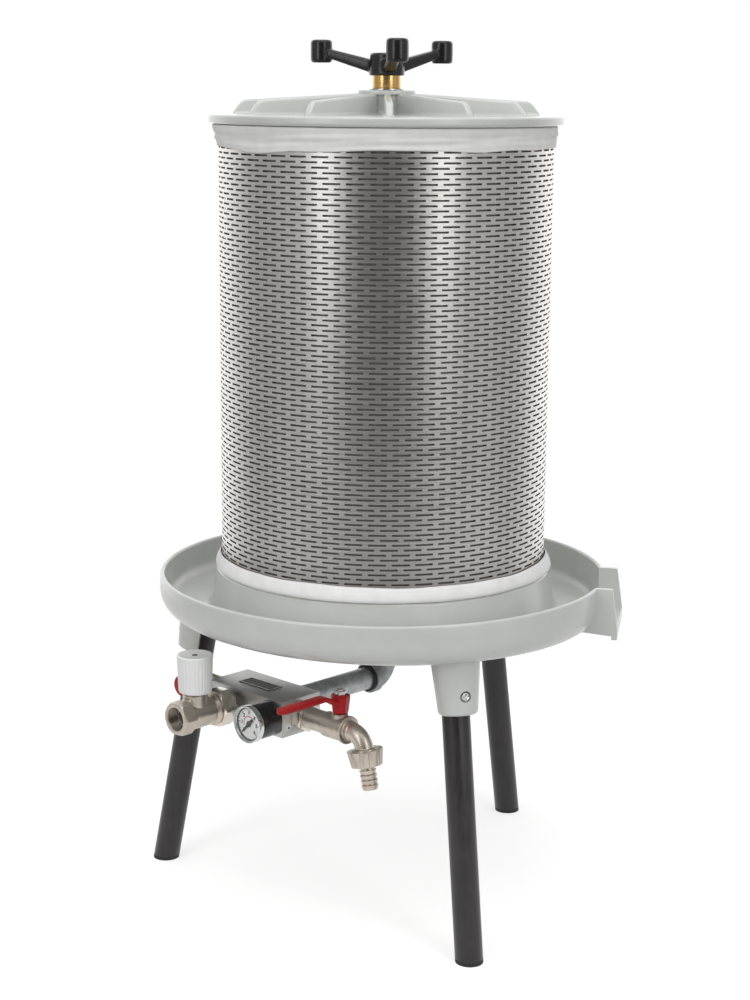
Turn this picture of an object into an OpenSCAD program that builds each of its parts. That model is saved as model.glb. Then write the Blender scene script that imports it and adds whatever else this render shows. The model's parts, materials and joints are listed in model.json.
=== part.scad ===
// Hydraulic fruit press: a slotted basket over a rubber membrane that mains water swells.
// Millimetres, +Z up. The origin is on the floor under the press axis, and the juice spout points along +X.

/* [Stand] */
// Height of the tray rim above the floor
rim_z = 344; // [320:1:370]
// Distance of each foot from the press axis
foot_reach = 242; // [236:1:248]
// Lean of each leg towards the press axis, in degrees
leg_splay = 10; // [8:0.5:11]
// Direction of the front leg, in degrees from the spout
leg_turn = -58.8; // [-65:0.1:-52]
// Outside diameter of a leg tube
leg_d = 28; // [25:0.5:30]
// Wall of a leg tube
leg_wall = 2; // [1.5:0.1:3]
// Thickness of a foot cap under its leg
foot_t = 4; // [3:0.5:8]
// Height to which a foot cap's plug reaches inside its leg
foot_plug = 24; // [15:1:40]

/* [Leg sockets] */
// How far a leg socket hangs below the tray
socket_drop = 58; // [50:1:70]
// Width of a leg socket under the tray
socket_top_d = 50; // [46:0.5:54]
// Width of a leg socket at its lower end
socket_low_d = 40; // [38:0.5:44]
// Rounding of a socket's lower edge
socket_edge = 4; // [2:0.5:5]
// How far a leg screw sits below the tray
leg_screw_drop = 39; // [30:1:45]
// Diameter of a leg screw
leg_screw_d = 6; // [5:0.5:8]
// Diameter of a leg screw's head
leg_screw_head_d = 11; // [10:0.5:13]

/* [Juice tray] */
// Outside diameter of the tray rim
tray_d = 471; // [465:1:480]
// Height of the tray from its underside to its rim
tray_h = 43; // [36:1:46]
// Wall of the tray rim
rim_t = 5; // [4:0.5:7]
// Outer rounding between the tray's wall and underside
tray_corner = 22; // [16:1:26]
// Thickness of the channel floor
floor_t = 6; // [5:0.5:8]
// Diameter of the platform that carries the basket
platform_d = 352; // [348:1:360]
// Height of the platform above the rim
platform_rise = 6; // [2:0.5:12]
// Thickness of the platform
platform_t = 6; // [5:0.5:8]
// Clear width of the juice spout
spout_w = 86; // [70:1:100]
// Distance of the spout's end from the press axis
spout_reach = 252; // [250:1:260]
// Wall of the juice spout
spout_wall = 5; // [4:0.5:7]

/* [Basket and bag] */
// Outside diameter of the basket
basket_d = 340; // [334:1:344]
// Height of the basket
basket_h = 453; // [430:1:480]
// Thickness of the basket sheet
basket_t = 1.5; // [1:0.1:2]
// Thickness of the press bag's cloth
cloth_t = 1.2; // [0.8:0.1:1.6]
// Depth of the bag's fold outside the basket's top
bag_fold = 22; // [12:1:40]
// Height of the bag's fold outside the basket's foot
bag_cuff = 16; // [14:1:24]

/* [Lid] */
// Diameter of the lid
lid_d = 361; // [356:1:368]
// Thickness of the lid at its edge
lid_t = 9.5; // [9:0.5:12]
// Height of the lid's hub above its seat
lid_hub_h = 33.5; // [32:0.5:40]
// Diameter of the lid's hub
lid_hub_d = 48; // [44:1:54]
// Number of ribs on the lid
lid_ribs = 12; // [8:1:16]
// Thickness of a lid rib
lid_rib_t = 7; // [5:0.5:9]

/* [Star handle] */
// Distance of each grip knob from the spindle
arm_reach = 72; // [60:1:80]
// Number of arms
arms = 3; // [3:1:4]
// Direction of the front arm, in degrees from the spout
arm_turn = -72.2; // [-100:0.1:-60]
// Diameter of a grip knob
grip_d = 22; // [18:0.5:24]
// Height of a grip knob
grip_h = 23; // [20:0.5:26]
// Diameter of the handle's hub
handle_hub_d = 36; // [34:0.5:42]
// Height of the handle's hub
handle_hub_h = 22.5; // [20:0.5:26]
// Diameter of the brass handle nut
handle_nut_d = 29; // [25:0.5:30]
// Height of the nut between the lid and the handle
handle_nut_show = 13; // [8:0.5:18]
// Diameter of the spindle
spindle_d = 20; // [16:0.5:21]

/* [Core] */
// Outside diameter of the core tube
core_d = 60; // [54:1:66]
// Wall of the core tube
core_t = 2; // [1.5:0.1:3]
// Distance of the core tube's top below the lid's seat
core_room = 33.6; // [25:0.1:60]
// Thickness of the membrane
membrane_t = 5; // [3:0.5:6]
// Swell of the membrane at its middle
membrane_swell = 10; // [4:1:20]
// Diameter of the core's threaded tail
tail_d = 27; // [24:0.5:28]

/* [Water block] */
// Direction of the feed pipe, in degrees from -Y towards -X
water_turn = 34; // [30:1:40]
// Height of the water ports above the floor
water_z = 222; // [215:1:230]
// Distance of the block's back face from the press axis
block_reach = 124.5; // [115:0.5:135]
// Length of the block
block_w = 109; // [105:1:115]
// Depth of the block
block_depth = 53; // [50:1:60]
// Height of the block
block_h = 37.5; // [34:0.5:42]
// Distance of the block's right end from the feed pipe
block_right = 32; // [30:1:38]
// Outside diameter of the feed pipe
pipe_d = 24; // [23:0.5:28]
// Height of the feed pipe's axis above the block's middle
pipe_rise = 4; // [0:0.5:5]
// Bore of the feed pipe and elbow
pipe_bore_d = 20; // [16:0.5:21]
// Outside diameter of the elbow
elbow_d = 31; // [31:0.5:36]
// Bend radius of the elbow
elbow_bend = 20; // [19:0.5:24]

/* [Gauge] */
// Diameter of the gauge case
gauge_d = 36; // [34:0.5:40]
// Depth of the gauge case
gauge_depth = 28; // [22:0.5:32]
// Distance of the gauge from the feed pipe, to the right
gauge_shift = 16.5; // [12:0.5:18]

/* [Overflow valve] */
// Distance of the overflow valve from the feed pipe, to the left
overflow_shift = 46; // [43:0.5:50]
// Width across the flats of the union nut
union_flats = 36; // [34:0.5:38]
// Length of the union nut
union_h = 17; // [15:0.5:20]
// Diameter of the overflow valve's body
overflow_d = 30; // [29:0.5:33]
// Width across the flats of the overflow mouth
mouth_flats = 32; // [31:0.5:36]
// Diameter of the overflow mouth's thread bore
mouth_bore_d = 24; // [22:0.5:24.5]
// Depth of the overflow mouth's thread bore
mouth_depth = 14; // [12:0.5:15]
// Distance of the overflow mouth from the block
mouth_reach = 73.5; // [72:0.5:78]
// Distance of the knob's axis from the block
knob_reach = 46.5; // [45:0.5:48]
// Diameter of the knob at its top
knob_d = 37; // [35:0.5:40]
// Diameter of the knob at its foot
knob_low_d = 33.5; // [30.5:0.5:35]
// Height of the knob
knob_h = 39.5; // [38:0.5:48]
// Number of flutes round the knob
knob_flutes = 30; // [18:1:36]

/* [Drain tap] */
// Width across the flats of a nipple's hexagon
nipple_flats = 27; // [24:0.5:30]
// Distance of the lever's pivot from the block
tap_pivot = 56; // [54:0.5:60]
// Diameter of the tap's body at its ball
tap_d = 26; // [25:0.5:29]
// Diameter of a valve ball
ball_d = 17; // [16:0.5:17.5]
// Bore of the balls and water ways
way_d = 12; // [9:0.5:12]
// Length of the lever from its pivot
lever_reach = 84; // [60:1:95]
// Width of the lever
lever_w = 13; // [10:0.5:16]
// Outside diameter of the tap's spout
tap_spout_d = 18.5; // [17:0.5:21]
// Bend radius of the tap's spout
tap_bend = 18; // [16:0.5:20]
// Angle of the tap's spout bend, in degrees
tap_turn = 78; // [70:1:90]
// Diameter of the hose nut at its top
hose_nut_d = 36; // [35:0.5:38]
// Height of the hose nut
hose_nut_h = 16; // [15:0.5:20]
// Outside diameter of the hose tail's rings
hose_tail_d = 17.5; // [15:0.5:18]
// Length of the hose tail below its nut
hose_tail_h = 24; // [20:0.5:30]

/* [Inlet valve] */
// Diameter of the inlet valve's body
inlet_d = 27; // [26:0.5:30]
// Length of the inlet valve beyond its nipple
inlet_h = 55; // [53:0.5:60]
// Diameter of the inlet's thread bore
inlet_bore_d = 19; // [17:0.1:20]
// Depth of the inlet's thread bore
inlet_depth = 14; // [12:0.5:15]
// Span of the inlet's butterfly handle
butterfly_span = 56; // [46:1:60]
// Height of a butterfly wing
butterfly_h = 22; // [16:0.5:24]

/* [Hidden] */
$fn = 64;

// Overrun of every cut, gap of parts that slide or lie on cloth, play of a shaft, and play of a fixed fit
cut = 2;
soft_gap = 0.3;
shaft_play = 0.15;
fit_play = 0.05;
// Steps of a quarter round in an outline
arc_steps = 6;

// Colours
cast_grey = "#C3C7C2";
leg_grey = "#403C3C";
cap_black = "#141414";
steel = "#C9CCCE";
zinc = "#B4B6B8";
nickel = "#A99D8D";
brass = "#C79A3C";
cloth_white = "#F1EFE8";
rubber = "#222326";
ptfe = "#F4F4F0";
lever_red = "#B5121B";

// Heights of the main seats
under_z = rim_z - tray_h;
channel_z = under_z + floor_t;
platform_z = rim_z + platform_rise;
basket_z = platform_z + cloth_t + 2 * soft_gap;
basket_top = basket_z + basket_h;
lid_z = basket_top + cloth_t + 2 * soft_gap;

// Legs
leg_r = leg_d / 2;
leg_sides = [0, 120, 240];
leg_head_gap = 4;
leg_end = (under_z - leg_head_gap) / cos(leg_splay);
socket_z = (under_z - socket_drop) / cos(leg_splay);
screw_l = (under_z - leg_screw_drop) / cos(leg_splay);
socket_shift = 6;
screw_wall = 10;
screw_seat = leg_r + screw_wall;
screw_head_h = 3.5;
screw_point = 3;
recess_w = 1.4;
recess_depth = 1.6;
recess_share = 0.66;

// Tray
tray_r = tray_d / 2;
platform_r = platform_d / 2;
platform_slope = 5;
platform_foot_r = platform_r + platform_slope;
platform_edge = 3;
channel_fillet = 6;
inner_corner = 12;
boss_d = 64;
tray_web_t = 5;
tray_webs = 6;
web_rise = 6;
spout_fall = 3;
spout_lip = 6;
spout_lip_drop = 4;
spout_lean = 6;
spout_in = tray_r - tray_corner;

// Basket and bag
basket_r = basket_d / 2;
basket_in = basket_r - basket_t;
bag_in = basket_in - soft_gap;
bag_out = basket_r + soft_gap;
bag_flare = 6;
cuff_bulge = 7;
cuff_low = 4;
cuff_high = 9;

// Lid, measured up from its seat
lid_r = lid_d / 2;
lid_hub_r = lid_hub_d / 2;
lid_under = 4;
lid_bevel = 6;
lid_bead = 4.5;
spigot_w = 5;
spigot_h = 8;
spigot_r = bag_in - cloth_t - soft_gap * 4;
collar_d = 58;
collar_h = 4.5;
rib_in_h = 31.5;
rib_out_h = 23.5;
rib_top_r = 142;
rib_foot_r = 154.5;
lid_rib_turn = 10.8;
spindle_gap = 1;

// Star handle, measured up from the underside of its hub
washer_t = 1.5;
washer_d = 36;
nut_sink = 10;
grip_rise = 12.5;
grip_edge = 2.5;
hub_edge = 3;
arm_w = 14;
arm_root_t = 13.5;
arm_tip_t = 9.5;
arm_root_rise = 0.7;
arm_tip_rise = 18.8;
spindle_show = 15.5;
spindle_room = 2;
washer_z = lid_z + lid_hub_h;
nut_z = washer_z + washer_t;
handle_z = nut_z + handle_nut_show;

// Core
core_r = core_d / 2;
gasket_t = 2;
flange_t = 8;
core_z = platform_z + gasket_t + flange_t;
core_top = lid_z - core_room;
core_h = core_top - core_z;
flange_d = 90;
plug_h = 12;
cap_t = 10;
cap_d = 68;
tail_drop = 28;
pipe_z = water_z + pipe_rise;
tail_end = pipe_z + elbow_bend + tail_drop;
tail_bore_d = 19;
lock_nut_h = 11;
lock_nut_flats = 46;
core_port_d = 8;
core_ports = 6;
core_port_rows = 3;
core_port_turn = 13;
membrane_end = 18;
membrane_margin = 4;
clamp_h = 10;
clamp_t = 1.5;
clamp_lug = 9;
membrane_low = core_z + membrane_margin;
membrane_high = core_top - membrane_margin;
membrane_in = core_r + fit_play;

// Water block, in axes along its length (x), towards the press axis (y) and up from its ports (z)
block_left = block_w - block_right;
block_mid = block_reach + block_depth / 2;
block_front = block_reach + block_depth;
port_d = 20.6;
port_depth = 12;
port_step = 0.3;
plate_w = 46;
plate_depth = 18;
plate_shift = 6;
plate_x = (block_right - block_left - plate_w) / 2 - plate_shift;
plate_t = 0.6;
block_screw_d = 5;
block_screw_h = 6;
block_screw_spread = 34;
block_screw_drop = 10;
recess_hex_d = 3;

// Elbow
elbow_collar_d = 33;
elbow_collar_h = 8;
elbow_mouth = 2;
elbow_grip = 6;
elbow_top = under_z - lock_nut_h - soft_gap;
elbow_gasket_t = 3;
elbow_gasket_d = 29;

// Gauge, measured out from the block's front face
gauge_stand = 1.5;
gauge_back_t = 2;
gauge_wall = 1.5;
gauge_port_d = 13;
gauge_flange_d = 22;
post_d = 9;
post_room = 6;
dial_t = 0.6;
dial_hole_d = 3;
needle_d = 1.8;
needle_l = 14;
needle_tail = 6;
needle_w = 1.6;
needle_t = 0.6;
needle_hub_d = 5;
needle_rest = 225;
needle_sink = 5;
bezel_grip = 2;
bezel_t = 1.2;
glass_stand = 1.8;
glass_t = 1.4;
bezel_lip = 0.8;
bezel_d = gauge_d + 2 * bezel_t + 2 * fit_play;
bourdon_r = 12.5;
bourdon_d = 3;
bourdon_sweep = 250;
gauge_end = gauge_stand + gauge_depth;

// Overflow valve, measured out from the block's front face
overflow_r = overflow_d / 2;
nipple_neck_d = 22;
nipple_flange = 2.5;
nipple_flange_d = 26;
union_gap = 4;
union_z = nipple_flange + union_gap;
union_seat = 8;
thread_d = 28;
throat_d = 10;
throat_drop = 6;
seat_bore_d = 9;
seat_rise = 4;
chamber_d = 19;
neck_d = 25.5;
neck_h = 22;
waist_d = 27;
outlet_rise = 6;
hex_chamfer = 2;
disc_d = 16;
disc_t = 3;
disc_stem_d = 5;
disc_stem_h = 9;
spring_d = 12;
spring_wire_d = 1.4;
spring_turns = 5;
spring_rings = 8;
spring_sides = 6;
bonnet_d = 22.5;
bonnet_h = 24;
bonnet_sink = 6;
bonnet_top_t = 5;
screw_d = 8;
screw_low = 4;
screw_plate_d = 15;
screw_plate_t = 2;
knob_z = 23;
knob_wall = 2.5;
knob_top_t = 8;
knob_dish_d = 28;
knob_dish = 1.2;
knob_hole_d = 6;
knob_hole_depth = 3;
knob_edge = 2;
knob_foot_edge = 3;
flute_w = 1.4;
flute_depth = 0.7;
bonnet_z = neck_h - bonnet_sink;
spring_z = seat_rise + disc_t + 2 * soft_gap + spring_wire_d / 2;
spring_h = bonnet_z + bonnet_h - bonnet_top_t - screw_low - soft_gap - spring_wire_d / 2 - spring_z;

// Tap, measured out from the block's right end
nipple_hex_h = 12;
tap_neck_d = 22.5;
tap_neck_end = 38;
tap_ring_d = 28.5;
tap_ring_h = 4;
tap_ring_z = 64.5;
sleeve_d = 19;
seat_w = 4.5;
seat_room = 0.1;
seat_stand = 2;
tap_bonnet_d = 16;
tap_bonnet_h = 15.2;
stem_d = 7;
stem_h = 40;
stem_sink = 2;
tap_thread_d = 26;
tap_thread_h = 9;
lever_hub_d = 18;
lever_z = 15.5;
lever_hub_h = 19;
lever_t = 5;
lever_rise = 17;
lever_drop = 4;
lever_slope = 16;
lever_nut_flats = 11;
lever_nut_h = 4;
nut_flutes = 12;
nut_flute_d = 4;
nut_flute_share = 0.25;
hose_nut_low_d = 31;
hose_flange_t = 2;
hose_lip = 2.5;
tail_wall = 2;
tail_ring_h = 5;
tail_rings = 4;
tail_neck_d = 14;
spout_bore_d = 12;
spout_step = 0.5;
tap_straight = 4;
hose_nut_z = -hose_nut_h;
flute_lean = atan((hose_nut_d - hose_nut_low_d) / 2 / hose_nut_h);
hose_flange_z = hose_nut_z + hose_lip;
tap_bend_x = tap_ring_z + tap_ring_h + tap_straight;

// Inlet valve, measured out from the block's left end
inlet_hex_h = 8;
inlet_pivot = 33;
inlet_bonnet_d = 15;
inlet_bonnet_h = 17.5;
inlet_stem_h = 25;
handle_hub_t = 8;
butterfly_hub_d = 15;
butterfly_t = 6;
butterfly_waist_share = 0.45;

// Points of an arc about a centre, from one angle to another
function arc(c, r, a, b) = [for (i = [0 : arc_steps]) c + r * [cos(a + (b - a) * i / arc_steps),
    sin(a + (b - a) * i / arc_steps)]];

// A round bar or hole along +Z between two heights
module bar(d, a, b) {
    translate([0, 0, a]) cylinder(d = d, h = b - a);
}

// A hexagon bar along +Z between two heights, given its width across flats
module hex_bar(flats, a, b) {
    translate([0, 0, a]) cylinder(d = flats / cos(30), h = b - a, $fn = 6);
}

// A round tube along +Z between two heights
module tube(d, bore, a, b) {
    difference() {
        bar(d, a, b);
        bar(bore, a - cut, b + cut);
    }
}

// A frame at a leg's foot, with z along the leg and x away from the press axis
module at_leg(side) {
    rotate([0, 0, leg_turn + side]) translate([foot_reach, 0, 0]) rotate([0, -leg_splay, 0]) children();
}

// A slab from the floor up to a height, as wide as the tray
module floor_slab(a, b) {
    translate([-tray_d, -tray_d, a]) cube([2 * tray_d, 2 * tray_d, b - a]);
}

// The water block's frame: x along its length to the right, y towards the press axis, z up from its ports
module at_block() {
    translate([0, 0, water_z]) rotate([0, 0, -water_turn]) children();
}

// A port on the block's front face, with z pointing out of it and y up
module at_front(x) {
    at_block() translate([x, -block_front, 0]) rotate([90, 0, 0]) children();
}

// The overflow valve's upright axis: z up, y towards the block
module at_knob() {
    at_block() translate([-overflow_shift, -block_front - knob_reach, 0]) children();
}

// The port on the block's right end, with x pointing out of it
module at_tap() {
    at_block() translate([block_right, -block_mid, 0]) children();
}

// The port on the block's left end, with x pointing out of it
module at_inlet() {
    at_block() translate([-block_left, -block_mid, 0]) rotate([0, 0, 180]) children();
}

// Turns a bar along +Z to lie along +X
module along_x() {
    rotate([0, 90, 0]) children();
}

// Half section of the tray
module tray_section() {
    polygon(concat(
        [[tail_d / 2 + fit_play, under_z], [tail_d / 2 + fit_play, platform_z]],
        arc([platform_r - platform_edge, platform_z - platform_edge], platform_edge, 90, 0),
        arc([platform_foot_r + channel_fillet, channel_z + channel_fillet], channel_fillet, 180, 270),
        arc([tray_r - rim_t - inner_corner, channel_z + inner_corner], inner_corner, -90, 0),
        arc([tray_r - rim_t / 2, rim_z - rim_t / 2], rim_t / 2, 180, 0),
        arc([tray_r - tray_corner, under_z + tray_corner], tray_corner, 0, -90),
        [[platform_foot_r - platform_t, under_z], [platform_r - platform_t, platform_z - platform_t],
            [boss_d / 2, platform_z - platform_t], [boss_d / 2, under_z]]
    ));
}

// Where the outside of the spout's walls meets a circle about the press axis
function spout_x(r) = sqrt(pow(r, 2) - pow(spout_w / 2 + spout_wall, 2));

// The cast spout, solid, with its walls rooted in the middle of the tray's wall
module spout_block() {
    corner = arc([spout_in, under_z + tray_corner], tray_corner - rim_t / 2, 0, -90);
    wall = concat([[spout_x(tray_r - rim_t / 2), rim_z]], [for (p = corner) [spout_x(p[0]), p[1]]]);
    rotate([90, 0, 0]) linear_extrude(height = spout_w + 2 * spout_wall, center = true) polygon(concat([
        [spout_in, under_z],
        [spout_reach - spout_lip, under_z - spout_fall],
        [spout_reach - spout_lip, under_z - spout_fall - spout_lip_drop],
        [spout_reach, under_z - spout_fall - spout_lip_drop],
        [spout_reach, channel_z - spout_fall],
        [spout_reach - spout_lean, rim_z]
    ], wall));
}

// The way cut through the rim and along the spout
module spout_way() {
    rotate([90, 0, 0]) linear_extrude(height = spout_w, center = true) polygon([
        [spout_in - inner_corner, channel_z],
        [spout_in, channel_z],
        [spout_reach, channel_z - spout_fall],
        [spout_reach + cut, channel_z - spout_fall],
        [spout_reach + cut, rim_z + cut],
        [spout_in - inner_corner, rim_z + cut]
    ]);
}

// A leg socket: a tapered half shell round the outer side of its leg
module socket(side) {
    intersection() {
        at_leg(side) difference() {
            translate([socket_shift, 0, socket_z]) rotate_extrude() polygon(concat(
                [[0, 0]],
                arc([socket_low_d / 2 - socket_edge, socket_edge], socket_edge, -90, 0),
                [[socket_top_d / 2, socket_drop], [socket_top_d / 2, 2 * socket_drop], [0, 2 * socket_drop]]
            ));
            bar(leg_d + 2 * fit_play, 0, leg_end);
            translate([-socket_top_d, -socket_top_d, 0]) cube([socket_top_d, 2 * socket_top_d, leg_end]);
            translate([0, 0, screw_l]) along_x() bar(leg_screw_d + 2 * fit_play, 0, socket_top_d);
            translate([0, 0, screw_l]) along_x()
                bar(leg_screw_head_d + 2 * soft_gap, screw_seat, socket_top_d);
        }
        floor_slab(0, under_z + floor_t / 2);
    }
}

// A web under the platform, from the boss to the platform's wall
module tray_web() {
    rotate([90, 0, 0]) linear_extrude(height = tray_web_t, center = true) polygon([
        [boss_d / 2 - cut, under_z + web_rise],
        [platform_foot_r - platform_t / 2, under_z + web_rise],
        [platform_r - platform_t / 2, platform_z - platform_t / 2],
        [boss_d / 2 - cut, platform_z - platform_t / 2]
    ]);
}

module juice_tray() {
    color(cast_grey) difference() {
        union() {
            rotate_extrude() tray_section();
            spout_block();
            for (side = leg_sides) socket(side);
            for (i = [0 : tray_webs - 1]) rotate([0, 0, i * 360 / tray_webs]) tray_web();
        }
        spout_way();
    }
}

module leg(side) {
    color(leg_grey) difference() {
        at_leg(side) bar(leg_d, -leg_d, leg_end);
        at_leg(side) bar(leg_d - 2 * leg_wall, -leg_d, leg_end + cut);
        at_leg(side) translate([0, 0, screw_l]) along_x() bar(leg_screw_d + 2 * fit_play, 0, leg_d);
        floor_slab(-2 * leg_d, foot_t);
    }
}

module leg_front() {
    leg(leg_sides[0]);
}

module leg_rear() {
    leg(leg_sides[1]);
}

module leg_left() {
    leg(leg_sides[2]);
}

module foot_cap(side) {
    color(cap_black) union() {
        intersection() {
            at_leg(side) bar(leg_d, -leg_d, leg_d);
            floor_slab(0, foot_t);
        }
        intersection() {
            at_leg(side) bar(leg_d - 2 * leg_wall - 2 * fit_play, -leg_d, foot_plug);
            floor_slab(foot_t / 2, foot_plug + leg_d);
        }
    }
}

module foot_cap_front() {
    foot_cap(leg_sides[0]);
}

module foot_cap_rear() {
    foot_cap(leg_sides[1]);
}

module foot_cap_left() {
    foot_cap(leg_sides[2]);
}

module leg_screws() {
    color(zinc) for (side = leg_sides) at_leg(side) translate([0, 0, screw_l]) along_x() difference() {
        union() {
            bar(leg_screw_d, leg_r - leg_wall - screw_point, screw_seat);
            translate([0, 0, screw_seat])
                cylinder(d1 = leg_screw_head_d, d2 = leg_screw_head_d * recess_share, h = screw_head_h);
        }
        for (turn = [0, 90]) rotate([0, 0, turn])
            translate([-leg_screw_d / 2, -recess_w / 2, screw_seat + screw_head_h - recess_depth])
                cube([leg_screw_d, recess_w, screw_head_h]);
    }
}

module basket() {
    color(steel) tube(basket_d, 2 * basket_in, basket_z, basket_top);
}

// The bag lines the basket and is folded out over its top and under its foot
module press_bag() {
    low = platform_z + soft_gap;
    top = basket_top + soft_gap;
    color(cloth_white) rotate_extrude() polygon([
        [bag_out + cloth_t, top - bag_fold],
        [bag_out + cloth_t + bag_flare, top - cloth_t],
        [bag_out + bag_flare, top + cloth_t],
        [bag_in - cloth_t, top + cloth_t],
        [bag_in - cloth_t, low],
        [bag_out + cuff_bulge - cloth_t, low],
        [bag_out + cuff_bulge, low + cuff_low],
        [bag_out + cuff_bulge, low + cuff_high],
        [bag_out + cloth_t, low + bag_cuff],
        [bag_out, low + bag_cuff],
        [bag_out + cuff_bulge - cloth_t, low + cuff_high],
        [bag_out + cuff_bulge - cloth_t, low + cuff_low],
        [bag_out, low + cloth_t],
        [bag_in, low + cloth_t],
        [bag_in, top],
        [bag_out + bag_flare - cloth_t, top],
        [bag_out + bag_flare - cloth_t, top - cloth_t],
        [bag_out, top - bag_fold]
    ]);
}

module lid_section() {
    polygon(concat(
        [[spindle_d / 2 + spindle_gap, lid_under], [spigot_r - spigot_w, lid_under],
            [spigot_r - spigot_w, -spigot_h], [spigot_r, -spigot_h], [spigot_r, 0],
            [lid_r - lid_bevel, 0]],
        arc([lid_r - lid_bead, lid_t - lid_bead], lid_bead, -70, 90),
        [[lid_hub_r, lid_t], [lid_hub_r, lid_hub_h - collar_h], [collar_d / 2, lid_hub_h - collar_h],
            [collar_d / 2, lid_hub_h], [spindle_d / 2 + spindle_gap, lid_hub_h]]
    ));
}

module lid_rib() {
    run = (rib_foot_r - rib_top_r) * cut / (rib_out_h - lid_t);
    rotate([90, 0, 0]) linear_extrude(height = lid_rib_t, center = true) polygon([
        [lid_hub_r - lid_rib_t / 2, lid_t - cut],
        [rib_foot_r + run, lid_t - cut],
        [rib_top_r, rib_out_h],
        [lid_hub_r - lid_rib_t / 2, rib_in_h]
    ]);
}

module lid() {
    color(cast_grey) translate([0, 0, lid_z]) union() {
        rotate_extrude() lid_section();
        for (i = [0 : lid_ribs - 1]) rotate([0, 0, lid_rib_turn - 90 + i * 360 / lid_ribs]) lid_rib();
    }
}

module thrust_washer() {
    color(zinc) tube(washer_d, spindle_d + 2 * spindle_gap, washer_z, nut_z);
}

module handle_nut() {
    color(brass) tube(handle_nut_d, spindle_d + 2 * shaft_play, nut_z, handle_z + nut_sink);
}

module grip_knob() {
    rotate_extrude() polygon(concat(
        [[0, 0]],
        arc([grip_d / 2 - grip_edge, grip_edge], grip_edge, -90, 0),
        arc([grip_d / 2 - grip_edge, grip_h - grip_edge], grip_edge, 0, 90),
        [[0, grip_h]]
    ));
}

module handle_arm() {
    rotate([90, 0, 0]) linear_extrude(height = arm_w, center = true) polygon([
        [handle_hub_d / 4, arm_root_rise],
        [arm_reach, arm_tip_rise],
        [arm_reach, arm_tip_rise + arm_tip_t],
        [handle_hub_d / 4, arm_root_rise + arm_root_t]
    ]);
}

module star_handle() {
    color(cap_black) translate([0, 0, handle_z]) difference() {
        union() {
            rotate_extrude() polygon(concat(
                [[0, 0], [handle_hub_d / 2, 0]],
                arc([handle_hub_d / 2 - hub_edge, handle_hub_h - hub_edge], hub_edge, 0, 90),
                [[0, handle_hub_h]]
            ));
            for (i = [0 : arms - 1]) rotate([0, 0, arm_turn + i * 360 / arms]) {
                handle_arm();
                translate([arm_reach, 0, grip_rise]) grip_knob();
            }
        }
        bar(handle_nut_d + 2 * fit_play, -cut, nut_sink + fit_play);
        bar(spindle_d + 2 * spindle_gap, 0, spindle_show + spindle_room);
    }
}

module spindle() {
    color(steel) bar(spindle_d, core_top - plug_h, handle_z + spindle_show);
}

module core_cap() {
    color(zinc) difference() {
        union() {
            bar(core_d - 2 * core_t - 2 * fit_play, core_top - plug_h, core_top + cap_t);
            bar(cap_d, core_top, core_top + cap_t);
        }
        bar(spindle_d + 2 * fit_play, core_top - plug_h - cut, core_top + cap_t + cut);
    }
}

module core_tube() {
    color(steel) difference() {
        tube(core_d, core_d - 2 * core_t, core_z, core_top);
        for (row = [1 : core_port_rows]) for (i = [0 : core_ports - 1])
            rotate([0, 0, i * 360 / core_ports + core_port_turn])
                translate([0, 0, core_z + core_h * row / (core_port_rows + 1)]) along_x()
                    bar(core_port_d, core_r / 2, core_d);
    }
}

module core_flange() {
    color(zinc) difference() {
        union() {
            bar(tail_d, tail_end, core_z);
            bar(flange_d, platform_z + gasket_t, core_z);
            bar(core_d - 2 * core_t - 2 * fit_play, core_z - cut, core_z + plug_h);
        }
        bar(tail_bore_d, tail_end - cut, core_z + plug_h + cut);
    }
}

module base_gasket() {
    color(rubber) tube(flange_d, tail_d + 2 * fit_play, platform_z, platform_z + gasket_t);
}

module lock_nut() {
    color(zinc) difference() {
        hex_bar(lock_nut_flats, under_z - lock_nut_h, under_z);
        bar(tail_d + 2 * fit_play, under_z - lock_nut_h - cut, under_z + cut);
    }
}

module membrane() {
    color(rubber) rotate_extrude() polygon([
        [membrane_in, membrane_low],
        [membrane_in + membrane_t, membrane_low],
        [membrane_in + membrane_t, membrane_low + membrane_end],
        [membrane_in + membrane_t + membrane_swell, membrane_low + core_h / 4],
        [membrane_in + membrane_t + membrane_swell, membrane_high - core_h / 4],
        [membrane_in + membrane_t, membrane_high - membrane_end],
        [membrane_in + membrane_t, membrane_high],
        [membrane_in, membrane_high],
        [membrane_in, membrane_high - membrane_end],
        [membrane_in + membrane_swell, membrane_high - core_h / 4],
        [membrane_in + membrane_swell, membrane_low + core_h / 4],
        [membrane_in, membrane_low + membrane_end]
    ]);
}

module membrane_clamp(z) {
    bore = 2 * (membrane_in + membrane_t + fit_play);
    color(steel) difference() {
        union() {
            bar(bore + 2 * clamp_t, z, z + clamp_h);
            translate([0, -clamp_lug / 2, z]) cube([bore / 2 + clamp_lug, clamp_lug, clamp_h]);
        }
        bar(bore, z - cut, z + clamp_h + cut);
    }
}

module membrane_clamp_lower() {
    membrane_clamp(membrane_low + (membrane_end - clamp_h) / 2);
}

module membrane_clamp_upper() {
    membrane_clamp(membrane_high - (membrane_end + clamp_h) / 2);
}

// The block's axes lifted to the feed pipe's axis
module at_pipe() {
    at_block() translate([0, 0, pipe_rise]) children();
}

// A quarter bend from -Y at the origin's level up to +Z, about a centre at the bend radius
module bend(d) {
    translate([0, -elbow_bend, elbow_bend]) rotate([0, 90, 0])
        rotate_extrude(angle = 90) translate([elbow_bend, 0]) circle(d = d);
}

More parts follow.
